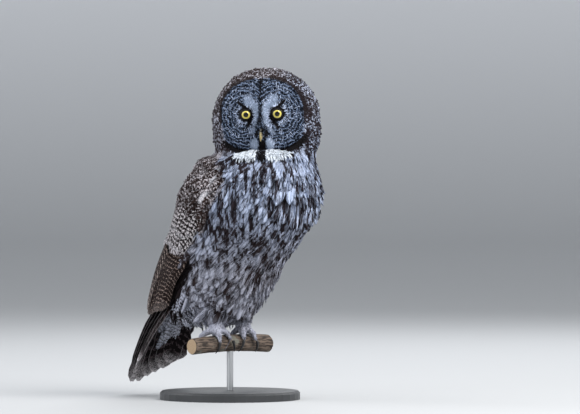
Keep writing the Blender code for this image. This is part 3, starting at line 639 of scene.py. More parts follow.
def feather_tree():
    """Geometry Nodes that plant a set of feathers over a skin, along the lie of the coat."""
    inputs = [("Skin", "Geometry"), ("Feathers", "Collection"), ("Spacing", "Float"),
              ("Density", "Float"), ("Seed", "Int"), ("Size spread", "Float"),
              ("Angle spread", "Float"), ("Material", "Material")]
    draw, given, result = new_group("feather_tract", inputs, [("Coat", "Geometry")], "Geometry")

    def named(name, kind="FLOAT"):
        return draw.wire("GeometryNodeInputNamedAttribute", {"Name": name}, data_type=kind)

    def chance(low, high, salt):
        """A random value for each feather, from low to high."""
        inputs = {2: low, 3: high, "Seed": given["Seed"] + salt}
        return draw.wire("FunctionNodeRandomValue", inputs, 1, data_type="FLOAT")

    def store_in(geometry, name, value, kind, domain):
        inputs = {"Geometry": geometry, "Name": name, "Value": value}
        return draw.wire("GeometryNodeStoreNamedAttribute", inputs, data_type=kind, domain=domain)

    planted = draw.node("GeometryNodeDistributePointsOnFaces", {
        "Mesh": given["Skin"], "Distance Min": given["Spacing"], "Density Max": given["Density"],
        "Seed": given["Seed"]}, distribute_method="POISSON")
    points, normal = (Wire(draw, planted.outputs[key]) for key in ("Points", "Normal"))
    points = store_in(points, "root", draw.wire("GeometryNodeInputPosition"), "FLOAT_VECTOR", "POINT")
    facing = draw.wire("FunctionNodeAxesToRotation", primary_axis="Z", secondary_axis="Y", inputs={
        "Primary Axis": normal, "Secondary Axis": named("lie", "FLOAT_VECTOR")})
    spread = given["Angle spread"]
    less = spread * -1.0
    tilt = draw.wire("ShaderNodeCombineXYZ", {"X": named("lift") * chance(0.6, 1.4, 1.0),
                                              "Y": chance(less, spread, 2.0),
                                              "Z": chance(less, spread, 3.0)})
    lean = draw.wire("FunctionNodeEulerToRotation", {0: tilt})
    turned = draw.wire("FunctionNodeRotateRotation", {"Rotation": facing, "Rotate By": lean},
                       rotation_space="LOCAL")
    small = 1.0 - given["Size spread"]
    large = given["Size spread"] + 1.0
    reach = named("reach") * chance(small, large, 4.0)
    breadth = named("breadth") * chance(small, large, 5.0)
    size = draw.wire("ShaderNodeCombineXYZ", {"X": breadth, "Y": reach, "Z": reach})
    shapes = draw.wire("GeometryNodeCollectionInfo", {
        "Collection": given["Feathers"], "Separate Children": True, "Reset Children": True})
    pick = draw.wire("FunctionNodeRandomValue", {4: 0, 5: 3, "Seed": given["Seed"]}, 2,
                     data_type="INT")
    coat = draw.wire("GeometryNodeInstanceOnPoints", {
        "Points": points, "Instance": shapes, "Pick Instance": True, "Instance Index": pick,
        "Rotation": turned, "Scale": size})
    coat = store_in(coat, "tone", chance(0.0, 1.0, 6.0), "FLOAT", "INSTANCE")
    coat = draw.wire("GeometryNodeRealizeInstances", {0: coat})
    coat = draw.wire("GeometryNodeSetMaterial", {"Geometry": coat, "Material": given["Material"]})
    draw.fill(result, {"Coat": coat})
    return draw.tree


feather_tract = feather_tree()
coat_places, coat_normals = mesh_arrays(skin.data)
part_of = regions(coat_places, on_arm)
skin_faces = np.empty(len(skin.data.polygons) * 4, int)
skin.data.polygons.foreach_get("vertices", skin_faces)
skin_faces = skin_faces.reshape(-1, 4)


def unit(vectors):
    return vectors / np.maximum(np.linalg.norm(vectors, axis=1, keepdims=True), 1e-9)


def mantle_share(places, normals):
    """How much each place belongs to the brown back and shoulders, over grey sides below."""
    slope = -np.abs(places[:, 0]) - places[:, 1]
    limit = np.interp(places[:, 2], (0.29, 0.317, 0.341, 0.369, 0.391, 0.420, 0.445),
                      (-0.089, -0.071, -0.054, -0.037, -0.012, 0.008, -0.015))
    behind = soft_step(0.005, -0.005, slope - limit)
    nape = soft_step(0.0, 0.02, places[:, 1]) * soft_step(0.425, 0.440, places[:, 2])
    behind = np.maximum(behind, nape)
    up = soft_step(-0.10, 0.25, normals @ np.array([0.0, 0.80, 0.60]))
    low = soft_step(0.30, 0.27, places[:, 2])
    return behind * (1.0 - low + low * up)


def blend(first, second, share):
    """One direction for each place turned into another, as far as its share says."""
    return first * (1.0 - share[:, None]) + second * share[:, None]


def lie_of_coat():
    """The way that the feathers point at each place of the skin, and how well they lie there."""
    body = blend(np.array([0.0, 0.30, -0.95]), np.array([0.0, 0.66, -0.75]),
                 soft_step(0.46, 0.20, coat_places[:, 2]))
    body[:, 0] += 0.28 * np.clip(coat_places[:, 0] / 0.04, -1.0, 1.0)
    side = np.where(part_of["left"] > 0.0, 1.0, -1.0)[:, None]
    away = unit(coat_places - np.array(in_head(0.0, 0.085, -0.012)))
    back = soft_step(0.02, -0.08, part_of["forward"]) + 2.2 * soft_step(-0.035, -0.080, part_of["crown"])
    head = away + np.array([0.0, 0.10, -1.0]) * np.clip(back, 0.0, 2.2)[:, None]
    eyes = [np.array(in_head(eye, EYE_FORWARD, 0.0)) for eye in (EYE_SIDE, -EYE_SIDE)]
    from_eye = unit(coat_places - np.where(side > 0.0, *eyes))
    mantle = mantle_share(coat_places, coat_normals) * (1.0 - part_of["tail"])
    body = blend(body, np.array([0.0, 0.68, -0.73]), mantle)
    body = blend(body, np.array([0.0, 0.55, -0.84]), part_of["tail"])
    throat = soft_step(-0.055, -0.068, part_of["crown"]) * soft_step(0.0, 0.02, part_of["forward"])
    head = blend(head, np.array(head_left) * 0.40 * side - np.array(head_crown), throat)
    lie = blend(body, head, part_of["head"])
    lie = blend(lie, from_eye, part_of["face"])
    lie = blend(lie, np.array([0.0, 0.05, -1.0]), part_of["shank"])
    lie -= coat_normals * np.sum(lie * coat_normals, axis=1, keepdims=True)
    return unit(lie), np.linalg.norm(lie, axis=1)


coat_lie, coat_hold = lie_of_coat()


def unwrap(places, kind):
    """Where a place of the skin falls on an unwrap of its own shape, from 0 to 1 both ways."""
    left, forward, crown = from_head(places).T
    if kind == "face":
        return np.stack([left / 0.18 + 0.5, crown / 0.18 + 0.5], axis=1)
    if kind == "head":
        turn = np.arctan2(left, -forward) / math.tau + 0.5
        return np.stack([turn, np.clip(crown / 0.21 + 0.55, 0.0, 1.0)], axis=1)
    middle = np.interp(places[:, 2], (0.10, 0.20, 0.32, 0.44), (0.10, 0.09, -0.01, -0.08))
    turn = np.arctan2(places[:, 0], middle - places[:, 1]) / math.tau + 0.5
    return np.stack([turn, np.clip(places[:, 2] / 0.50, 0.0, 1.0)], axis=1)


def add_bake_map(mesh, kind):
    """The map for baking: each feather a small patch at its root's place on the skin's unwrap."""
    margin, patch = 0.004, 0.003
    roots = np.empty(len(mesh.vertices) * 3)
    mesh.attributes["root"].data.foreach_get("vector", roots)
    loops = np.empty(len(mesh.loops), int)
    mesh.loops.foreach_get("vertex_index", loops)
    base = unwrap(roots.reshape(-1, 3), kind)[loops]
    vane = np.empty(len(mesh.loops) * 2)
    mesh.uv_layers["Vane"].data.foreach_get("uv", vane)
    places = margin + base * (1.0 - 2.0 * margin - patch) + vane.reshape(-1, 2) * patch
    bake = mesh.uv_layers.new(name="OFBake")
    bake.data.foreach_set("uv", places.ravel())


def store(mesh, name, values):
    """Keep a number or a vector for each point of a mesh, under a name."""
    if np.ndim(values) == 2:
        mesh.attributes.new(name, "FLOAT_VECTOR", "POINT").data.foreach_set("vector", values.ravel())
    else:
        values = np.broadcast_to(np.asarray(values, float), len(mesh.vertices))
        mesh.attributes.new(name, "FLOAT", "POINT").data.foreach_set("value", values)


def plant(bed, feathers, spacing, material, seed, kind, size_spread, angle_spread):
    """Grow feathers over a bed that carries their lie, sizes and shares, and keep only them."""
    nodes = bed.modifiers.new("feathers", "NODES")
    nodes.node_group = feather_tract
    values = {"Feathers": feathers, "Spacing": spacing, "Density": 1.4 / spacing ** 2, "Seed": seed,
              "Size spread": size_spread, "Angle spread": angle_spread, "Material": material}
    for socket in feather_tract.interface.items_tree:
        if socket.in_out == "INPUT" and socket.name in values:
            nodes[socket.identifier] = values[socket.name]
    graph = bpy.context.evaluated_depsgraph_get()
    mesh = bpy.data.meshes.new_from_object(bed.evaluated_get(graph))
    bed.modifiers.clear()
    bed.data = mesh
    smooth(bed)
    add_bake_map(bed.data, kind)
    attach(bed, "root")


def plant_coat(name, share, feathers, spacing, reach, breadth, lift, material, seed, kind,
               size_spread=0.2, angle_spread=0.16, lie_to=None):
    """One piece of the coat, planted where its share of the skin is over a half.

    Reach, breadth and lift are single sizes, or one for each point of the skin. Feathers
    follow the lie of the coat, or point to a place.
    """
    chosen = skin_faces[share[skin_faces].mean(axis=1) > 0.5]
    used, faces = np.unique(chosen, return_inverse=True)
    bed = add_mesh(name, coat_places[used], faces.reshape(-1, 4).tolist())
    way = coat_lie if lie_to is None else unit(np.array(lie_to) - coat_places)
    store(bed.data, "lie", way[used])
    for key, value in (("reach", reach), ("breadth", breadth), ("lift", lift)):
        store(bed.data, key, np.broadcast_to(value, len(coat_places))[used])
    for key, values in shares.items():
        store(bed.data, key, values[used])
    plant(smooth(bed), feathers, spacing, material, seed, kind, size_spread, angle_spread)


def arc_band(values, middle, half, soft):
    """1 within a band of values, falling off to 0 softly beyond it."""
    return soft_step(half + soft, half, np.abs(values - middle))


def coat_shares(places, normals, part):
    """How dark, pale, warm, streaked and barred the coat is at each place, with some painted light and
    shadow.
    """
    left, forward, crown, disc = (part[key] for key in ("left", "forward", "crown", "disc"))
    across = np.abs(left)
    front = soft_step(0.0, 0.03, forward)
    head, face = part["head"], part["face"]
    # rim of the disc: a brown arch above, broad black crescents below
    arch = arc_band(disc, 1.022, 0.040, 0.022) * front * soft_step(-0.034, 0.004, crown)
    arch *= 1.0 - 0.7 * soft_step(0.016, 0.006, across)
    corner = -0.0435 + 0.075 * left
    crescent = arc_band(disc, 1.030, 0.040, 0.016) * front
    crescent *= soft_step(corner + 0.006, corner - 0.004, crown) * soft_step(0.016, 0.024, across)
    edge = np.maximum(-0.0735 - 0.38 * left, -0.0821 + 0.55 * left)
    lower_arc = soft_step(edge + 0.0012, edge - 0.0018, crown) * soft_step(0.014, 0.022, across)
    lower_arc *= soft_step(0.82, 0.88, disc) * soft_step(1.09, 1.07, disc) * front
    # chin strip below the bill, and dark crest down the forehead, wider at its top
    chin = soft_step(0.0095, 0.0065, across) * soft_step(-0.040, -0.048, crown)
    chin *= soft_step(-0.074, -0.068, crown) * front
    crest = 0.0030 + 0.10 * np.maximum(crown - 0.030, 0.0)
    stripe = soft_step(crest + 0.0020, crest - 0.0010, across) * soft_step(-0.020, -0.004, crown) * face
    # pale brows over the eyes that run down past their inner corners, and pale cheeks
    slant = crown - 0.0120 - 0.80 * (across - EYE_SIDE)
    middle_edge = np.maximum(0.0065 + 0.50 * (crown - 0.013), 0.0065)
    brow = soft_step(0.0005, 0.0045, slant) * soft_step(0.037, 0.028, crown)
    brow *= soft_step(0.034, 0.029, across) * soft_step(middle_edge - 0.001, middle_edge + 0.004, across)
    inner_line = 0.0115 + 22.0 * np.maximum(-0.010 - crown, 0.0) ** 2
    inner = arc_band(across, inner_line, 0.0040, 0.0030) * arc_band(crown, -0.008, 0.022, 0.008)
    cheek = soft_step(1.0, 0.75, np.hypot((across - 0.0155) / 0.0085, (crown + 0.0515) / 0.0125))
    # dark surround of the eyes, drawn out along the brow and down from the inner corner
    socket = soft_step(0.0143, 0.0122, np.hypot(across - EYE_SIDE, crown)) * face
    line = arc_band(slant, -0.0008, 0.0028, 0.0012) * arc_band(across, 0.0300, 0.0120, 0.003) * face
    under_line = np.interp(-crown, (0.005, 0.013, 0.0185, 0.0265), (0.0185, 0.0214, 0.0255, 0.0320))
    under = arc_band(across, under_line, 0.0031, 0.0016) * arc_band(crown, -0.0145, 0.0105, 0.004) * face
    gape = arc_band(across, 0.0085, 0.0030, 0.003) * arc_band(crown, -0.032, 0.006, 0.005) * face
    pale = np.maximum.reduce((0.32 * brow, 0.30 * inner, 0.46 * cheek)) * face * (1.0 - stripe)
    pale *= 1.0 - np.clip(socket + line + under, 0.0, 1.0)
    # the body: warm back and wings, a pale streak over the shoulder, painted light on one side
    # of the upper chest, and a dark band of painted shadow on the flank below the wing
    slope = -np.abs(places[:, 0]) - places[:, 1]
    sash = arc_band(slope, np.interp(places[:, 2], (0.38, 0.4315), (-0.063, -0.012)), 0.0036, 0.0044)
    sash *= soft_step(0.376, 0.388, places[:, 2]) * soft_step(0.445, 0.432, places[:, 2])
    back = mantle_share(places, normals) * (1.0 - head)
    brown = np.clip(np.maximum(part["wing"], back), 0.0, 1.0)
    cap = soft_step(-0.070, 0.020, crown)
    cap = np.maximum(cap, 0.75 * soft_step(0.02, -0.03, left)) * (1.0 - 0.7 * soft_step(0.02, 0.06, left))
    cap = np.maximum(cap, soft_step(0.01, -0.03, forward))
    nape = soft_step(0.0, 0.03, places[:, 1]) * soft_step(0.39, 0.42, places[:, 2])
    warm = np.clip(np.maximum(brown, nape) + 0.75 * cap * head * (1.0 - face), 0.0, 1.0)
    warm = np.maximum.reduce((warm, 0.5 * part["shank"], 0.55 * soft_step(0.40, 0.24, places[:, 2])))
    vent = soft_step(0.235, 0.200, places[:, 2]) * soft_step(0.03, 0.07, places[:, 1]) * (1.0 - brown)
    streak = 0.95 * (1.0 - head) * (1.0 - 0.45 * brown) * (1.0 - 0.7 * vent) + 0.36 * head
    streak *= (1.0 - face) * (1.0 - 0.8 * part["shank"])
    streak *= 1.0 - 0.32 * soft_step(0.38, 0.22, places[:, 2])
    # painted shadow: a dark band on the flank along the lower edge of the wing, where the wing shades the
    # body
    painted_flank_shadow = arc_band(slope, np.interp(places[:, 2], (0.165, 0.267), (-0.170, -0.092)), 0.009, 0.006)
    painted_flank_shadow *= soft_step(0.290, 0.272, places[:, 2]) * soft_step(0.165, 0.180, places[:, 2])
    painted_flank_shadow *= 1.0 - part["wing"]
    lower = np.maximum(part["tail"], vent)
    # painted light: the upper chest on one side of the bird is made paler, as if lit from that side
    painted_lit_chest = soft_step(0.03, 0.10, places[:, 0] - places[:, 1]) * arc_band(places[:, 2], 0.410, 0.040, 0.03)
    pale = np.maximum.reduce((pale, 0.54 * sash * (1.0 - head), 0.16 * painted_lit_chest * (1.0 - head), 0.46 * lower))
    even = (0.12 + 0.14 * head + 0.12 * nape) * (1.0 - face) * (1.0 - lower)
    dark = np.maximum.reduce((0.70 * arch, crescent, lower_arc, chin, 0.75 * stripe, 0.95 * socket,
                              0.98 * line, 0.95 * under, 0.80 * gape, 0.8 * painted_flank_shadow, even))
    belly = 0.15 + 0.25 * soft_step(0.33, 0.25, places[:, 2])
    bars = np.maximum.reduce((0.90 * head * (1.0 - face), 0.90 * brown * (1.0 - head), 1.3 * lower,
                              belly * (1.0 - head)))
    bars *= 1.0 - 0.4 * part["shank"]
    return {"dark": dark, "pale": pale, "warm": warm, "streak": streak, "bars": bars}


shares = coat_shares(coat_places, coat_normals, part_of)
store(skin.data, "tone", 0.5)
for key, values in shares.items():
    store(skin.data, key, values)
skin.data.materials.append(plumage_material("feathered_skin", 1.0, 7.0, 0.9, vane_known=False))


# Facial disc. Two dished halves of short stiff plumes that fan out from the eyes, grey with
# fine dark rings round each eye, parted by a dark crest down the forehead. Loose bristles
# cover the base of the bill.
RING_SPACING = 0.0063
FACE_PALE = (0.27, 0.35, 0.52)
FACE_DARK = (0.003, 0.005, 0.011)


def facial_rings():
    """Broken dark rings round each eye, from the place alone."""
    draw, given, result = new_group("facial_rings", [("Place", "Vector")], [("Rings", "Float")])
    ranges = [draw.wire("ShaderNodeVectorMath", {0: given["Place"], 1: in_head(side, EYE_FORWARD, 0.0)},
                        "Value", operation="DISTANCE") for side in (EYE_SIDE, -EYE_SIDE)]
    reach = draw.maths("MINIMUM", *ranges)
    place = given["Place"]
    wander = draw.noise(place, 95.0, 2.0) - 0.5
    fine = draw.noise(place, 430.0, 2.0) - 0.5
    wave = draw.wave(reach / RING_SPACING + wander * 2.2 + fine) + fine * 1.5
    rings = draw.step(wave, -1.00, -0.55)
    near = draw.step(reach, 0.010, 0.018)
    gaps = draw.step(draw.noise(place, 150.0, 2.0), 0.30, 0.50)
    held = near * (gaps * 0.25 + 0.75)
    specks = draw.step(draw.noise(place, 520.0, 1.0), 0.55, 0.68) * 0.6
    draw.fill(result, {"Rings": draw.maths("MAXIMUM", rings * held, specks)})
    return draw.tree


rings_group = facial_rings()


def face_material(name):
    """Ringed grey plumes, with the dark and pale marks of the face laid over the rings, and painted shade
    at each plume's root.
    """
    material, draw, shader = new_material(name, FACE_PALE, 0.85)
    rings = draw.wire("ShaderNodeGroup", {"Place": draw.place()}, node_tree=rings_group)
    pale = draw.attribute("pale")
    dark = draw.attribute("dark")
    strength = draw.maths("ADD", pale * -2.0, 1.25, clamp=True)
    lot = (draw.attribute("tone") - 0.5) * 0.22
    depth = draw.maths("ADD", rings * strength, lot, clamp=True)
    colour = draw.mix(depth, FACE_PALE, FACE_DARK)
    colour = draw.mix(draw.step(pale, 0.02, 0.55), colour, (0.37, 0.44, 0.57))
    colour = draw.mix(draw.step(pale, 0.60, 0.95), colour, CLEAN_WHITE)
    colour = draw.mix(draw.step(dark, 0.20, 0.85), colour, NEAR_BLACK)
    # painted shade: each plume darkens towards near black at its root, where the plumes over it would
    # shade it
    root = draw.step(draw.split(draw.vane())[1], -0.1, 0.45)
    colour = draw.mix(root * -0.55 + 0.55, colour, NEAR_BLACK)
    draw.fill(shader, {"Base Color": colour, "Specular IOR Level": 0.1})
    return material


face_plumage = face_material("face_plumage")
across = np.abs(part_of["left"])
eye_clear = soft_step(0.0112, 0.0118, np.hypot(across - EYE_SIDE, part_of["crown"]))
face_reach = 0.0080 - 0.0035 * soft_step(0.88, 0.98, part_of["disc"])
face_reach *= 1.0 - 0.42 * np.clip(shares["dark"] + 1.5 * shares["pale"], 0.0, 1.0)
plant_coat("coat_face", part_of["face"] * eye_clear, plume_set, 0.0016, face_reach, 0.0022, 0.22,
           face_plumage, 1, "face")
bristle = part_of["face"] * soft_step(0.0100, 0.0080, across)
bristle *= arc_band(part_of["crown"], -0.018, 0.012, 0.004)
plant_coat("bristles", bristle, plume_set, 0.0012, 0.0130, 0.0018, 0.45, face_plumage, 21, "face",
           lie_to=in_head(0.0, 0.092, -0.036))


# Eyes. Glossy balls with a lemon iris round a black pupil, in a rim of bare dark lid whose
# upper half hoods the ball. The lids are a ring modelled on the ball and sunk in the plumes.
GAZE_TURN = math.radians(8.0)
GAZE_DROP = math.radians(4.0)
PUPIL_ANGLE = 0.42
IRIS_ANGLE = 0.90


def eye_axes(side):
    """The eye's centre, the way it looks, and its own left and up."""
    look = head_forward * math.cos(GAZE_TURN) + head_left * math.sin(GAZE_TURN)
    look = (look - head_crown * math.tan(GAZE_DROP)).normalized()
    across = look.cross(head_crown).normalized()
    return in_head(side * EYE_SIDE, EYE_FORWARD, 0.0), look, across, across.cross(look).normalized()


def round_piece(side, profile, steps, hood=0.0):
    """A form turned about the eye's axis from a profile of reach and height, hooded above."""
    centre, look, across, up = eye_axes(side)
    points = []
    for reach, height in profile:
        for step in range(steps):
            turn = math.tau * step / steps
            drop = hood * max(0.0, math.sin(turn)) ** 1.5
            place = across * math.cos(turn) * reach + up * (math.sin(turn) * reach - drop)
            points.append(centre + place + look * (height + 0.5 * drop))
    return points


def eyeball(side, name):
    rows, steps, bulge = 30, 40, 0.0007
    profile = []
    polar = [math.pi * row / rows for row in range(1, rows)]
    for angle in polar:
        reach = EYE_RADIUS + bulge * max(0.0, math.cos(min(angle * 1.6, math.pi / 2)))
        profile.append((reach * math.sin(angle), reach * math.cos(angle)))
    points = round_piece(side, profile, steps)
    centre, look = eye_axes(side)[:2]
    points += [centre + look * (EYE_RADIUS + bulge), centre - look * EYE_RADIUS]
    front, rear = len(points) - 2, len(points) - 1
    faces = ring_bands(len(profile), steps, flip=True)
    last = (len(profile) - 1) * steps
    faces += [(front, step, (step + 1) % steps) for step in range(steps)]
    faces += [(rear, last + (step + 1) % steps, last + step) for step in range(steps)]
    ball = add_mesh("eyeball_" + name, points, faces)
    store(ball.data, "off_axis", np.append(np.repeat(polar, steps), (0.0, math.pi)))
    return smooth(ball)


def eye_material():
    material, draw, shader = new_material("eye", (0.86, 0.66, 0.05), 0.08)
    angle = draw.attribute("off_axis")
    fibres = draw.noise(draw.place(), 900.0, 3.0) - 0.5
    iris = draw.mix(draw.step(fibres, -0.2, 0.2), (0.76, 0.61, 0.11), (0.68, 0.62, 0.20))
    iris = draw.mix(draw.step(angle, PUPIL_ANGLE + 0.18, PUPIL_ANGLE), iris, (0.62, 0.50, 0.05))
    iris = draw.mix(draw.step(angle, IRIS_ANGLE - 0.14, IRIS_ANGLE), iris, (0.05, 0.035, 0.02))
    rim = draw.step(fibres * 0.03 + angle, PUPIL_ANGLE, PUPIL_ANGLE + 0.03)
    draw.fill(shader, {"Base Color": draw.mix(rim, (0.003, 0.003, 0.003), iris),
                       "Specular IOR Level": 0.3, "Coat Weight": 0.25, "Coat Roughness": 0.03})
    return material


def round_off(thing, levels):
    rounding = thing.modifiers.new("rounding", "SUBSURF")
    rounding.levels = levels
    rounding.render_levels = levels


def eyelids(side, name):
    """A rim of lid on the ball that opens out into the skin of the socket."""
    profile = ((0.0080, 0.0060), (0.0077, 0.0070), (0.0083, 0.0078), (0.0096, 0.0074),
               (0.0112, 0.0054), (0.0128, 0.0026), (0.0136, -0.0010), (0.0120, -0.0020),
               (0.0100, 0.0010))
    steps = 48
    points = round_piece(side, profile, steps, hood=0.0017)
    bands = ring_bands(len(profile) + 1, steps)
    faces = [[index % len(points) for index in band] for band in bands]
    lids = smooth(add_mesh("eyelids_" + name, points, faces))
    round_off(lids, 1)
    return lids


def lid_material():
    material, draw, shader = new_material("eyelid_skin", (0.02, 0.018, 0.02), 0.45)
    grain = draw.noise(draw.place(), 1500.0, 4.0)
    draw.fill(shader, {"Base Color": draw.mix(grain, (0.006, 0.006, 0.007), (0.018, 0.016, 0.017)),
                       "Normal": draw.bump(grain, 1.0, 0.0002), "Specular IOR Level": 0.15})
    return material


eye_finish = eye_material()
lid_finish = lid_material()
for side, name in ((1.0, "left"), (-1.0, "right")):
    ball = eyeball(side, name)
    ball.data.materials.append(eye_finish)
    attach(ball, "root")
    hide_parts("eye_" + name)
    lids = eyelids(side, name)
    lids.data.materials.append(lid_finish)
    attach(lids, "root")


# Bill. A short hooked bill of smooth horn, its upper half ridged and its base hidden in
# bristles. Each half is lofted along the bend of the real one.
BILL_UPPER = ((0.0540, -0.0230, 0.0046, 0.0070), (0.0650, -0.0300, 0.0033, 0.0062),
              (0.0738, -0.0365, 0.0023, 0.0048), (0.0772, -0.0440, 0.0016, 0.0030),
              (0.0762, -0.0500, 0.0007, 0.0009))
BILL_LOWER = ((0.0640, -0.0335, 0.0038, 0.0025), (0.0690, -0.0395, 0.0031, 0.0023),
              (0.0715, -0.0445, 0.0020, 0.0018), (0.0722, -0.0478, 0.0010, 0.0008))


def bill_half(name, table, ridge):
    """A smooth horn along a bend, its front drawn up into a ridge."""
    rows, sides = 22, 24
    points = []
    reads = [station(table, (len(table) - 1) * row / (rows - 1)) for row in range(rows)]
    path = [in_head(0.0, read[0], read[1]) for read in reads]
    for row, read in enumerate(reads):
        along = (path[min(row + 1, rows - 1)] - path[max(row - 1, 0)]).normalized()
        front = along.cross(head_left).normalized()
        if front.dot(head_forward) < 0.0:
            front = -front
        for side in range(sides):
            turn = math.tau * side / sides
            crest = 1.0 + ridge * max(0.0, math.sin(turn)) ** 6
            points.append(path[row] + head_left * math.cos(turn) * read[2]
                          + front * math.sin(turn) * read[3] * crest)
    horn = add_mesh(name, points, ring_faces(rows, sides))
    tidy = bmesh.new()
    tidy.from_mesh(horn.data)
    bmesh.ops.recalc_face_normals(tidy, faces=tidy.faces)
    tidy.to_mesh(horn.data)
    tidy.free()
    return smooth(horn)


def horn_material():
    material, draw, shader = new_material("bill_horn", (0.55, 0.45, 0.16), 0.32)
    place = draw.place()
    growth = draw.noise(place, 260.0, 3.0, (1.0, 1.0, 3.0))
    height = draw.split(place)[2]
    colour = draw.mix(draw.step(growth, 0.35, 0.65), (0.24, 0.19, 0.08), (0.40, 0.32, 0.13))
    tip_rise = in_head(0.0, 0.079, -0.0515).z
    colour = draw.mix(draw.step(height, tip_rise + 0.013, tip_rise + 0.021), colour, (0.16, 0.15, 0.12))
    colour = draw.mix(draw.step(height, tip_rise + 0.005, tip_rise), colour, (0.30, 0.26, 0.15))
    draw.fill(shader, {"Base Color": colour, "Normal": draw.bump(growth, 0.3, 0.0002),
                       "Coat Weight": 0.3})
    return material


horn_finish = horn_material()
for name, table, ridge in (("upper", BILL_UPPER, 0.14), ("lower", BILL_LOWER, 0.0)):
    horn = bill_half("bill_horn_" + name, table, ridge)
    horn.data.materials.append(horn_finish)
    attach(horn, "root")
    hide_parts("bill_" + name)


# Ruff under the bill. Two white crescents of short stiff feathers below the disc, parted by a
# black tuft on the chin. They root in a narrow fold of skin that leaves the lower rim of the
# disc, and the fold itself is hidden in them.
head_plumage = plumage_material("head_plumage", 3.4, 7.5)


def ruff_bed():
    """A strip under the disc that the white ruff and the black chin tuft root in.

    It leaves the lower rim of the disc and rounds down over the swell of the throat.
    """
    tree = BVHTree.FromPolygons(coat_places.tolist(), skin_faces.tolist())
    columns, rows, half_width, top, drop = 61, 9, 0.0490, -0.0648, 0.0138
    points, sides = [], []
    for row in range(rows):
        turn = 0.5 * math.pi * row / (rows - 1)
        for column in range(columns):
            left = -half_width + 2.0 * half_width * column / (columns - 1)
            ends = [tree.ray_cast(in_head(left, 0.14, rise), -head_forward)[0]
                    for rise in (-0.0600 + 1.5 * left ** 2, -0.0820)]
            rim, throat = ((end - HEAD_CENTRE).dot(head_forward) for end in ends)
            forward = rim + (throat + 0.0030 - rim) * math.sin(turn)
            taper = 1.0 - 0.75 * min(1.0, max(0.0, (abs(left) - 0.026) / 0.021)) ** 1.5
            low = 5.0 * max(0.0, abs(left) - 0.010) ** 2
            low += 0.0016 * noise.noise(Vector((left * 330.0, 0.0, 0.0)))
            points.append(in_head(left, forward, top - low - drop * taper * (1.0 - math.cos(turn))))
            sides.append(left)
    starts = [row * columns + column for row in range(rows - 1) for column in range(columns - 1)]
    faces = [(at + 1, at, at + columns, at + columns + 1) for at in starts]
    bed = add_mesh("coat_ruff", points, faces)
    left = np.array(sides)
    dark = soft_step(0.0090, 0.0074, np.abs(left))
    store(bed.data, "lie", np.array(head_left) * 4.0 * left[:, None] - np.array(head_crown))
    values = {"reach": 0.0092, "breadth": 0.0034, "lift": 0.10, "dark": dark, "pale": 1.0 - dark,
              "warm": 0.0, "streak": 0.35, "bars": 0.0}
    for key, value in values.items():
        store(bed.data, key, value)
    return bed


plant(ruff_bed(), contour_set, 0.0019, head_plumage, 23, "head", 0.38, 0.30)


# Coat of the head and nape. Small dense feathers, finely mottled with brown, over a row of
# shorter and stiffer ones that make the dark rim of the disc. Narrow loose barbs lie on top.
head_share = part_of["head"] * (1 - part_of["face"])
front_head = soft_step(0.0, 0.02, part_of["forward"])
rim = soft_step(1.105, 1.085, part_of["disc"]) * front_head * head_share
crown_and_nape = head_share * (1 - np.round(rim))
head_reach = 0.0135 + 0.004 * soft_step(0.02, -0.06, part_of["forward"])
head_reach -= 0.0040 * soft_step(1.3, 1.1, part_of["disc"]) * front_head
plant_coat("coat_rim", rim, contour_set, 0.0022, 0.0060, 0.0036, 0.24, head_plumage, 22, "head")
head_lift = 0.19 + 0.06 * soft_step(0.045, 0.065, part_of["left"])
head_lift += 0.07 * soft_step(0.042, 0.056, part_of["crown"]) * arc_band(across, 0.036, 0.017, 0.012)
plant_coat("coat_head", crown_and_nape, contour_set, 0.0031, head_reach, 0.0056, head_lift,
           head_plumage, 2, "head")
plant_coat("coat_head_wisps", crown_and_nape, wisp_set, 0.0027, 0.7 * head_reach, 0.0018, head_lift,
           head_plumage, 16, "head", 0.3, 0.28)


# Coat of the breast and belly. Long soft feathers, grey-white with dark brown streaks, in three
# layers: broad vanes, loose plumes, and narrow barbs on top. They are shorter on the throat,
# and lie flatter where the breast turns under.
body_plumage = plumage_material("body_plumage", 2.2, 6.0)
ruff_zone = arc_band(part_of["crown"], -0.0725, 0.0100, 0.0005) * soft_step(0.054, 0.051, across)
ruff_zone = np.round(ruff_zone * front_head)
body = (1 - ruff_zone) * (1 - part_of["head"]) * (1 - part_of["shank"]) * (1 - part_of["tail"])
body *= 1 - np.round(on_arm)
mantle = mantle_share(coat_places, coat_normals) * body
breast = body * (1 - np.round(mantle))
under_wing = -np.abs(coat_places[:, 0]) - coat_places[:, 1]
under_wing = under_wing < np.interp(coat_places[:, 2], (0.165, 0.267), (-0.178, -0.099))
under_wing &= (np.abs(coat_places[:, 2] - 0.230) < 0.065) & (np.abs(coat_places[:, 0]) > 0.03)
under_wing |= (coat_places[:, 1] > 0.10) & (coat_lie[:, 2] > -0.1)
breast *= 1 - under_wing
throat = soft_step(0.40, 0.455, coat_places[:, 2])
breast_front = soft_step(0.35, 0.8, coat_normals @ np.array([0.7071, -0.7071, 0.0]))
raised = 0.04 * breast_front * arc_band(coat_places[:, 2], 0.405, 0.010, 0.05) - 0.03 * throat
raised += 0.10 * breast_front * arc_band(coat_places[:, 2], 0.448, 0.016, 0.030)
raised -= 0.10 * arc_band(coat_places[:, 2], 0.352, 0.010, 0.050)
plant_coat("coat_breast", breast, contour_set, 0.0050, 0.036 - 0.016 * throat, 0.0140 - 0.005 * throat,
           0.19 + raised, body_plumage, 3, "body")
plant_coat("coat_breast_plumes", breast, plume_set, 0.0040, 0.028 - 0.008 * throat, 0.0048,
           0.22 + raised, body_plumage, 13, "body")
plant_coat("coat_breast_wisps", breast, wisp_set, 0.0027, 0.028 - 0.010 * throat, 0.0019,
           0.23 + raised, body_plumage, 15, "body", 0.3, 0.30)


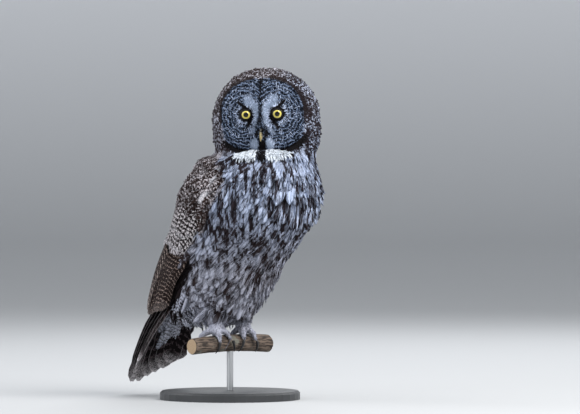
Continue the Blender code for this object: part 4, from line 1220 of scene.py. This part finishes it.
# Coat of the back, shoulders and wing arms. Short rounded brown feathers with fine pale bars
# that lie close. On the arm they stop where the coverts' own shapes take over.
mantle_plumage = plumage_material("mantle_plumage", 4.6, 4.5)
arm_slope = -np.abs(coat_places[:, 0]) - coat_places[:, 1]
arm_end = np.interp(arm_slope, (-0.183, -0.107), (0.290, 0.325))
arm = np.round(on_arm) * soft_step(-0.002, 0.002, coat_places[:, 2] - arm_end)
mantle_lift = 0.14 + 0.03 * arc_band(coat_places[:, 2], 0.372, 0.028, 0.020)
back = np.maximum(np.round(mantle), arm) * (coat_hold > 0.35) * (coat_normals[:, 2] > -0.4)
plant_coat("coat_mantle", back, contour_set, 0.0044, 0.026 - 0.008 * throat,
           0.0105 - 0.003 * throat, mantle_lift, mantle_plumage, 25, "body")


# Coat of the tail root and vent. Long soft feathers with close dark bars that hang over the
# roots of the tail, flat on its upper side and loose below.
vent_plumage = plumage_material("vent_plumage", 6.5, 1.2)
below = soft_step(0.10, -0.20, coat_normals @ np.array([0.0, 0.85, 0.50]))
tail_root = part_of["tail"] * (1 - part_of["head"])
tail_root = tail_root * (1.0 - (1.0 - below) * soft_step(0.172, 0.162, coat_places[:, 2]))
plant_coat("coat_tail", tail_root, contour_set, 0.0050, 0.030 + 0.010 * below, 0.0135, 0.05 + 0.13 * below,
           vent_plumage, 6, "body")
vent = soft_step(0.235, 0.200, coat_places[:, 2]) * soft_step(0.03, 0.07, coat_places[:, 1]) * body
vent *= (coat_lie[:, 2] < 0.0) & (coat_hold > 0.35)
plant_coat("coat_vent", vent, contour_set, 0.0052, 0.050, 0.0125, 0.30, vent_plumage, 7, "body")


# Coat of the thighs, legs and toes. Loose plumes hang round the thighs, and short hair-like
# ones cover the legs and the toes as far as the claws.
thigh = arc_band(coat_places[:, 2], 0.170, 0.030, 0.002) * soft_step(0.02, 0.03, coat_places[:, 1]) * body
plant_coat("coat_thighs", thigh, plume_set, 0.0042, 0.046, 0.0062, 0.22, body_plumage, 8, "body",
           lie_to=(0.0, 0.08, -0.50))
toes = np.round(part_of["foot"]) * part_of["shank"]
plant_coat("coat_toes", toes, plume_set, 0.0015, 0.0046, 0.0017, 0.18, body_plumage, 14, "body")
legs = part_of["shank"] * (1 - np.round(part_of["foot"]))
plant_coat("coat_legs", legs, plume_set, 0.0022, 0.012, 0.003, 0.26, body_plumage, 4, "body")
for shapes in (contour_set, plume_set, wisp_set):
    for shape in list(shapes.objects):
        bpy.data.objects.remove(shape)
    bpy.data.collections.remove(shapes)


# Flight feathers and tail. Long vanes on stiff shafts, in tiers that overlap like slates: the
# primaries and secondaries, two rows of coverts over their roots, and twelve tail feathers.
# Each is a thin cupped blade with a raised shaft and a few splits between its barbs.
BLADE_COLUMNS = 7
BLADE_STEPS = 15


def blade_profile(along):
    """Half width of a flight feather along its length, as a share of the widest."""
    rise = 0.30 + 0.70 * np.sin(0.5 * math.pi * np.clip(along / 0.34, 0.0, 1.0))
    tip = np.sqrt(np.clip(1.0 - (np.clip(along - 0.86, 0.0, 0.14) / 0.143) ** 2, 0.0, 1.0))
    return rise * tip


def blade_steps():
    """Places along a blade, closer together near the tip."""
    share = np.linspace(0.0, 1.0, BLADE_STEPS)
    return share ** 0.82


def blade_points(centres, across, normals, half_width, draw, soft):
    """Top and bottom of one blade, ring by ring, with its place across and along."""
    along = blade_steps()
    widths = blade_profile(along) * half_width
    lean = np.linspace(-1.0, 1.0, BLADE_COLUMNS)
    split = np.ones((BLADE_STEPS, 2))
    for _ in range(soft):
        split[draw.randrange(4, BLADE_STEPS - 1), draw.randrange(2)] = draw.uniform(0.80, 0.93)
    points, places = [], []
    for row in range(BLADE_STEPS):
        upper, lower = [], []
        for s in lean:
            factor = split[row, 0] if s < 0.0 else split[row, 1]
            reach = s * widths[row] * (factor if abs(s) > 0.9 else 1.0)
            cup = -0.10 * half_width * s * s
            shaft = 0.00045 * (1.0 - along[row]) + 0.00015 if abs(s) < 0.1 else 0.0
            thick = 0.00030 * (1.0 - 0.5 * abs(s))
            middle = centres[row] + across[row] * reach + normals[row] * cup
            upper.append(middle + normals[row] * (thick + shaft))
            lower.append(middle - normals[row] * thick)
            places.append((0.5 + 0.5 * s, along[row]))
        places += places[-BLADE_COLUMNS:][::-1]
        points += upper + lower[::-1]
    return points, places


def blade_mesh(name, blades, seed, soft=4):
    """Many blades as one mesh, with maps for their markings and for baking, and a tone each."""
    draw = random.Random(seed)
    ring = BLADE_COLUMNS * 2
    points, faces, places, tones = [], [], [], []
    for centres, across, normals, half_width in blades:
        start = len(points)
        new_points, new_places = blade_points(centres, across, normals, half_width, draw, soft)
        points += new_points
        places += new_places
        tones += [draw.random()] * len(new_points)
        faces += ring_faces(BLADE_STEPS, ring, start)
    thing = add_mesh(name, points, faces)
    mesh = thing.data
    store(mesh, "tone", tones)
    vane_map = mesh.uv_layers.new(name="Vane")
    bake_map = mesh.uv_layers.new(name="OFBake")
    cells = math.ceil(math.sqrt(len(blades)))
    each = ring * BLADE_STEPS
    loops = np.empty(len(mesh.loops), int)
    mesh.loops.foreach_get("vertex_index", loops)
    vane = np.array(places)[loops]
    cell = loops // each
    under = (loops % ring) >= BLADE_COLUMNS
    corner = np.stack([cell % cells, cell // cells], axis=1) / cells
    half = np.stack([np.where(under, 0.5, 0.0) + vane[:, 0] * 0.45, vane[:, 1] * 0.94], axis=1)
    bake = corner + (0.02 + half * 0.96) / cells
    vane_map.data.foreach_set("uv", vane.ravel())
    bake_map.data.foreach_set("uv", bake.ravel())
    return smooth(thing)


def wing_blade(root, tip, lifts, half_width, side, roll):
    """The line, sides and facing of one feather that lies along the folded wing."""
    centres, across, normals = [], [], []
    for along in blade_steps():
        at = root[0] + (tip[0] - root[0]) * along
        angle = root[1] + (tip[1] - root[1]) * along
        height = lifts[0] + (lifts[1] - lifts[0]) * along
        here = on_wing(at, angle, height, side)
        step = 0.02 * (tip[0] - root[0])
        swing = 0.02 * (tip[1] - root[1])
        ahead = on_wing(at + step, angle + swing, height, side)
        behind = on_wing(at - step, angle - swing, height, side)
        run = (ahead - behind).normalized()
        out = (on_wing(at, angle, height + 0.01, side) - here).normalized()
        out = (out - run * out.dot(run)).normalized()
        out = Matrix.Rotation(roll * side, 3, run) @ out
        centres.append(here)
        normals.append(out)
        across.append(out.cross(run).normalized())
    return centres, across, normals, half_width


# Each tier: count, station and angle of the first and last roots and tips, heights of roots
# and tips, half the width of a feather, and its roll in degrees
WING_TIERS = {
    "primaries": (11, (4.0, 97), (4.8, 62), (7.0, 94), (7.95, 46), 0.0016, 0.0034, 0.0102, 12.0),
    "secondaries": (10, (4.6, 64), (4.6, 16), (7.7, 42), (6.7, 14), 0.0036, 0.0048, 0.0118, 9.0),
    "greater_coverts": (17, (2.7, 98), (3.6, 15), (3.75, 92), (5.40, 11), 0.0030, 0.0082, 0.0088, 7.0),
    "median_coverts": (17, (2.1, 98), (2.9, 16), (3.2, 94), (4.60, 13), 0.0036, 0.0094, 0.0088, 6.0),
}


def wing_blades(side, tier, seed):
    draw = random.Random(seed)
    count, first_root, last_root, first_tip, last_tip, low, high, half_width, roll = tier
    blades = []
    for index in range(count):
        share = index / (count - 1)
        root = [a + (b - a) * share for a, b in zip(first_root, last_root)]
        tip = [a + (b - a) * share for a, b in zip(first_tip, last_tip)]
        tip = (tip[0] + draw.uniform(-0.12, 0.12), tip[1] + draw.uniform(-1.8, 1.8))
        blades.append(wing_blade((root[0], math.radians(root[1])), (tip[0], math.radians(tip[1])),
                                 (low, high), half_width * draw.uniform(0.94, 1.06), side,
                                 math.radians(roll)))
    return blades


TAIL_PAIRS = 6
TAIL_TIP = Vector((0.009, 0.259, 0.023))
TAIL_TIP_EDGE = Vector((0.052, 0.198, 0.066))
TAIL_ROOT = Vector((0.005, 0.148, 0.213))
TAIL_ROOT_EDGE = Vector((0.022, 0.124, 0.182))
TAIL_BOW = 0.0112
TAIL_HALF_WIDTH = 0.0175


def tail_blade(side, share, draw):
    """One long tail feather, from the ridge at share 0 to the edge at share 1."""
    root = TAIL_ROOT.lerp(TAIL_ROOT_EDGE, share)
    tip = TAIL_TIP.lerp(TAIL_TIP_EDGE, share)
    tip.z += draw.uniform(0.0005, 0.003)
    out = Vector((0.80 * share, 0.93 - 0.38 * share, 0.37 - 0.17 * share)).normalized()
    under = out * (0.0013 if side < 0.0 else 0.0)
    ends = [Vector((side * (end - under).x, (end - under).y, (end - under).z)) for end in (root, tip)]
    out.x *= side
    run = (ends[1] - ends[0]).normalized()
    out = (out - run * out.dot(run)).normalized()
    bow = TAIL_BOW * (1.0 - 0.5 * share)
    centres = [ends[0].lerp(ends[1], along) + out * bow * math.sin(math.pi * along)
               for along in blade_steps()]
    return centres, [out.cross(run)] * BLADE_STEPS, [out] * BLADE_STEPS, TAIL_HALF_WIDTH


def tail_blades():
    draw = random.Random(11)
    return [tail_blade(side, pair / (TAIL_PAIRS - 1), draw)
            for pair in range(TAIL_PAIRS) for side in (1.0, -1.0)]


BLADE_NUMBERS = ("Bars", "Bar size", "Wander", "Edge", "Tip")
BLADE_COLOURS = ("Ground", "Light", "Tip colour")


def blade_markings():
    """Colour and relief of a long feather: broken pale bars over brown, edges and tip paler."""
    inputs = [("Vane", "Vector"), ("Place", "Vector"), ("Tone", "Float")]
    inputs += [(name, "Float") for name in BLADE_NUMBERS] + [(name, "Color") for name in BLADE_COLOURS]
    draw, given, result = new_group("blade_markings", inputs, [("Colour", "Color"), ("Relief", "Float")])
    across, along = draw.split(given["Vane"])[:2]
    off_shaft = draw.maths("ABSOLUTE", across - 0.5)
    wander = draw.noise(given["Place"], 260.0, 2.0) - 0.5
    fine = draw.noise(given["Place"], 900.0, 2.0) - 0.5
    turns = along * given["Bars"] - off_shaft * 1.2 + wander * given["Wander"] * 2.2
    wave = draw.wave(turns + given["Tone"] * 0.6) + fine * given["Wander"] * 2.6
    edge = 0.9 - given["Bar size"]
    bars = draw.step(wave, edge, edge + 0.25) * draw.step(off_shaft, 0.02, 0.10)
    colour = draw.mix(bars, given["Ground"], given["Light"])
    lot = given["Tone"] * 0.25 + 0.125
    colour = draw.mix(lot, colour, draw.mix(0.6, colour, NEAR_BLACK))
    rim = draw.step(off_shaft, 0.450, 0.485) * given["Edge"]
    colour = draw.mix(rim, colour, given["Tip colour"])
    frayed = wander * 0.10 + along
    speck = draw.step(fine, -0.10, 0.12) * draw.step(frayed, 0.84, 0.93)
    tip = draw.maths("MAXIMUM", speck * 0.7, draw.step(frayed, 0.955, 0.985)) * given["Tip"]
    colour = draw.mix(tip, colour, given["Tip colour"])
    shaft = draw.step(off_shaft, 0.030, 0.012) * 0.8
    colour = draw.mix(shaft, colour, draw.mix(0.5, colour, NEAR_BLACK))
    barbs = draw.maths("SINE", (along - off_shaft * 0.55) * 420.0)
    draw.fill(result, {"Colour": colour, "Relief": barbs})
    return draw.tree


blade_group = blade_markings()


def blade_material(name, *values):
    """The finish of a tier, from its numbers and colours in the order of their names above."""
    given = dict(zip(BLADE_NUMBERS + BLADE_COLOURS, values))
    material, draw, shader = new_material(name, given["Ground"], 0.62)
    given.update({"Place": draw.place(), "Vane": draw.vane(), "Tone": draw.attribute("tone")})
    group = draw.node("ShaderNodeGroup", given, node_tree=blade_group)
    normal = draw.bump(Wire(draw, group.outputs["Relief"]), 0.4, 0.0002)
    draw.fill(shader, {"Base Color": Wire(draw, group.outputs["Colour"]), "Normal": normal,
                       "Specular IOR Level": 0.06})
    return material


DEEP_BROWN = (0.013, 0.0060, 0.0045)
COVERT_BROWN = (0.012, 0.007, 0.006)
BLADE_FINISHES = {
    "primaries": (14.0, 0.10, 0.55, 0.10, 0.4, DEEP_BROWN, (0.50, 0.38, 0.33), (0.42, 0.36, 0.34)),
    "secondaries": (13.0, 0.18, 0.45, 0.40, 0.5, DEEP_BROWN, (0.56, 0.45, 0.41), (0.48, 0.42, 0.40)),
    "greater_coverts": (7.0, 0.62, 0.80, 0.7, 0.7, COVERT_BROWN, (0.72, 0.67, 0.69), (0.78, 0.76, 0.80)),
    "median_coverts": (7.0, 0.62, 0.80, 0.5, 0.6, COVERT_BROWN, (0.72, 0.67, 0.69), (0.78, 0.76, 0.80)),
}
for tier_name, tier in WING_TIERS.items():
    finish = blade_material(tier_name + "_finish", *BLADE_FINISHES[tier_name])
    for side, name in ((1.0, "left"), (-1.0, "right")):
        blades = blade_mesh(tier_name + "_" + name, wing_blades(side, tier, len(tier_name)), 5)
        blades.data.materials.append(finish)
        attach(blades, "root")
        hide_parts("wing_" + name)

tail = blade_mesh("tail_feathers", tail_blades(), 8)
tail_colours = ((0.009, 0.006, 0.0065), (0.095, 0.073, 0.078), (0.66, 0.62, 0.63))
tail_finish = blade_material("tail_finish", 10.0, 0.35, 0.60, 0.36, 1.0, *tail_colours)
tail.data.materials.append(tail_finish)
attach(tail, "root")
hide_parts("tail")


# Perch. A short cut branch with furrowed bark and pale sawn ends that show growth rings.
# The toes close round it and the stand's rod carries it from below.
PERCH_HALF = 0.1
PERCH_RADIUS = 0.0165


def bark_depth(along, turn):
    """How far the bark sinks below the branch's round, in furrows that run along it."""
    ring = Vector((math.cos(turn) * 1.5, math.sin(turn) * 1.5, along * 9.0))
    coarse = noise.noise(ring * 1.9)
    ring = Vector((math.cos(turn) * 4.2, math.sin(turn) * 4.2, along * 42.0))
    fine = noise.noise(ring)
    knot = math.exp(-((along - 0.034) / 0.007) ** 2 - ((turn - 4.1) / 0.42) ** 2)
    return 0.0007 + 0.0005 * coarse + 0.0006 * abs(fine) * 1.6 - 0.0012 * knot


def branch_mesh():
    rows, sides = 110, 84
    points = []
    for row in range(rows):
        share = row / (rows - 1) * 2.0 - 1.0
        trim = 0.0012 if row in (0, rows - 1) else 0.0
        centre = Vector((share * PERCH_HALF, 0.003 * math.sin(share * 2.2),
                         PERCH_TOP - PERCH_RADIUS - 0.004 * share ** 2))
        for side in range(sides):
            turn = math.tau * side / sides
            reach = PERCH_RADIUS * (1.0 + 0.05 * share) - trim
            reach -= max(0.0, bark_depth(share * PERCH_HALF, turn))
            points.append(centre + Vector((0.0, math.cos(turn), math.sin(turn))) * reach)
    return smooth(add_mesh("branch", points, ring_faces(rows, sides)))


def bark_material():
    material, draw, shader = new_material("bark_finish", (0.12, 0.09, 0.07), 0.85)
    place = draw.place()
    furrow = draw.noise(place, 340.0, 3.0, (0.16, 1.0, 1.0))
    patch = draw.step(draw.noise(place, 46.0, 3.0), 0.55, 0.66)
    colour = draw.mix(draw.step(furrow, 0.38, 0.62), (0.030, 0.021, 0.016), (0.17, 0.125, 0.095))
    colour = draw.mix(patch * 0.6, colour, (0.22, 0.23, 0.19))
    draw.fill(shader, {"Base Color": colour, "Normal": draw.bump(furrow, 1.0, 0.0009)})
    return material


def cut_wood_material():
    material, draw, shader = new_material("cut_wood", (0.46, 0.33, 0.20), 0.7)
    y, z = draw.split(draw.place())[1:]
    rise = z - (PERCH_TOP - PERCH_RADIUS - 0.004)
    away = draw.maths("SQRT", rise * rise + y * y)
    rings = draw.step(draw.maths("SINE", away * 4600.0), -0.2, 1.0)
    colour = draw.mix(rings, (0.47, 0.34, 0.21), (0.30, 0.20, 0.12))
    colour = draw.mix(draw.step(away, 0.0138, 0.0146), colour, (0.05, 0.035, 0.025))
    draw.fill(shader, {"Base Color": colour})
    return material


branch = branch_mesh()
branch.data.materials.append(bark_material())
branch.data.materials.append(cut_wood_material())
for cap in branch.data.polygons[-2:]:
    cap.material_index = 1
    cap.use_smooth = False
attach(branch, "root")
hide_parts("perch")


# Claws. Curved glossy black horn, one at the end of each toe, four on each foot. Each has the
# shape of its solid, rounded off, and comes out from under the plumes of its toe.
horn_black = new_material("claw_horn", (0.012, 0.011, 0.012), 0.28)[0]
for side in ("left", "right"):
    nodes = ["claw_" + side + "_" + str(index) for index in (1, 2, 3, 4)]
    whole = bmesh.new()
    for node in nodes:
        whole.from_mesh(frame["nodes"][node].data)
    bmesh.ops.remove_doubles(whole, verts=whole.verts, dist=0.00001)
    claws = add_mesh("claws_" + side, [], [])
    whole.to_mesh(claws.data)
    whole.free()
    claws.data.materials.clear()
    claws.data.materials.append(horn_black)
    smooth(claws)
    round_off(claws, 2)
    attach(claws, "root")
    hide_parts(*nodes)


# Stand. A round wooden base painted dark grey, and a short rod of brushed steel that holds
# the perch up. Both keep the shapes of their solids and only get their finishes here.
def satin_paint():
    material, draw, shader = new_material("satin_paint", (0.040, 0.042, 0.045), 0.42)
    place = draw.place()
    draw.fill(shader, {"Roughness": draw.noise(place, 160.0, 3.0) * 0.16 + 0.32,
                       "Normal": draw.bump(draw.noise(place, 900.0, 1.0), 0.12, 0.0003)})
    return material


def brushed_steel():
    material, draw, shader = new_material("brushed_steel", (0.56, 0.57, 0.58), 0.34)
    lines = draw.noise(draw.place(), 1500.0, 2.0, (1.0, 1.0, 0.02))
    draw.fill(shader, {"Roughness": lines * 0.30 + 0.20, "Metallic": 1.0})
    return material


for node, material in (("stand_base", satin_paint()), ("stand_rod", brushed_steel())):
    for slot in frame["nodes"][node].material_slots:
        slot.material = material
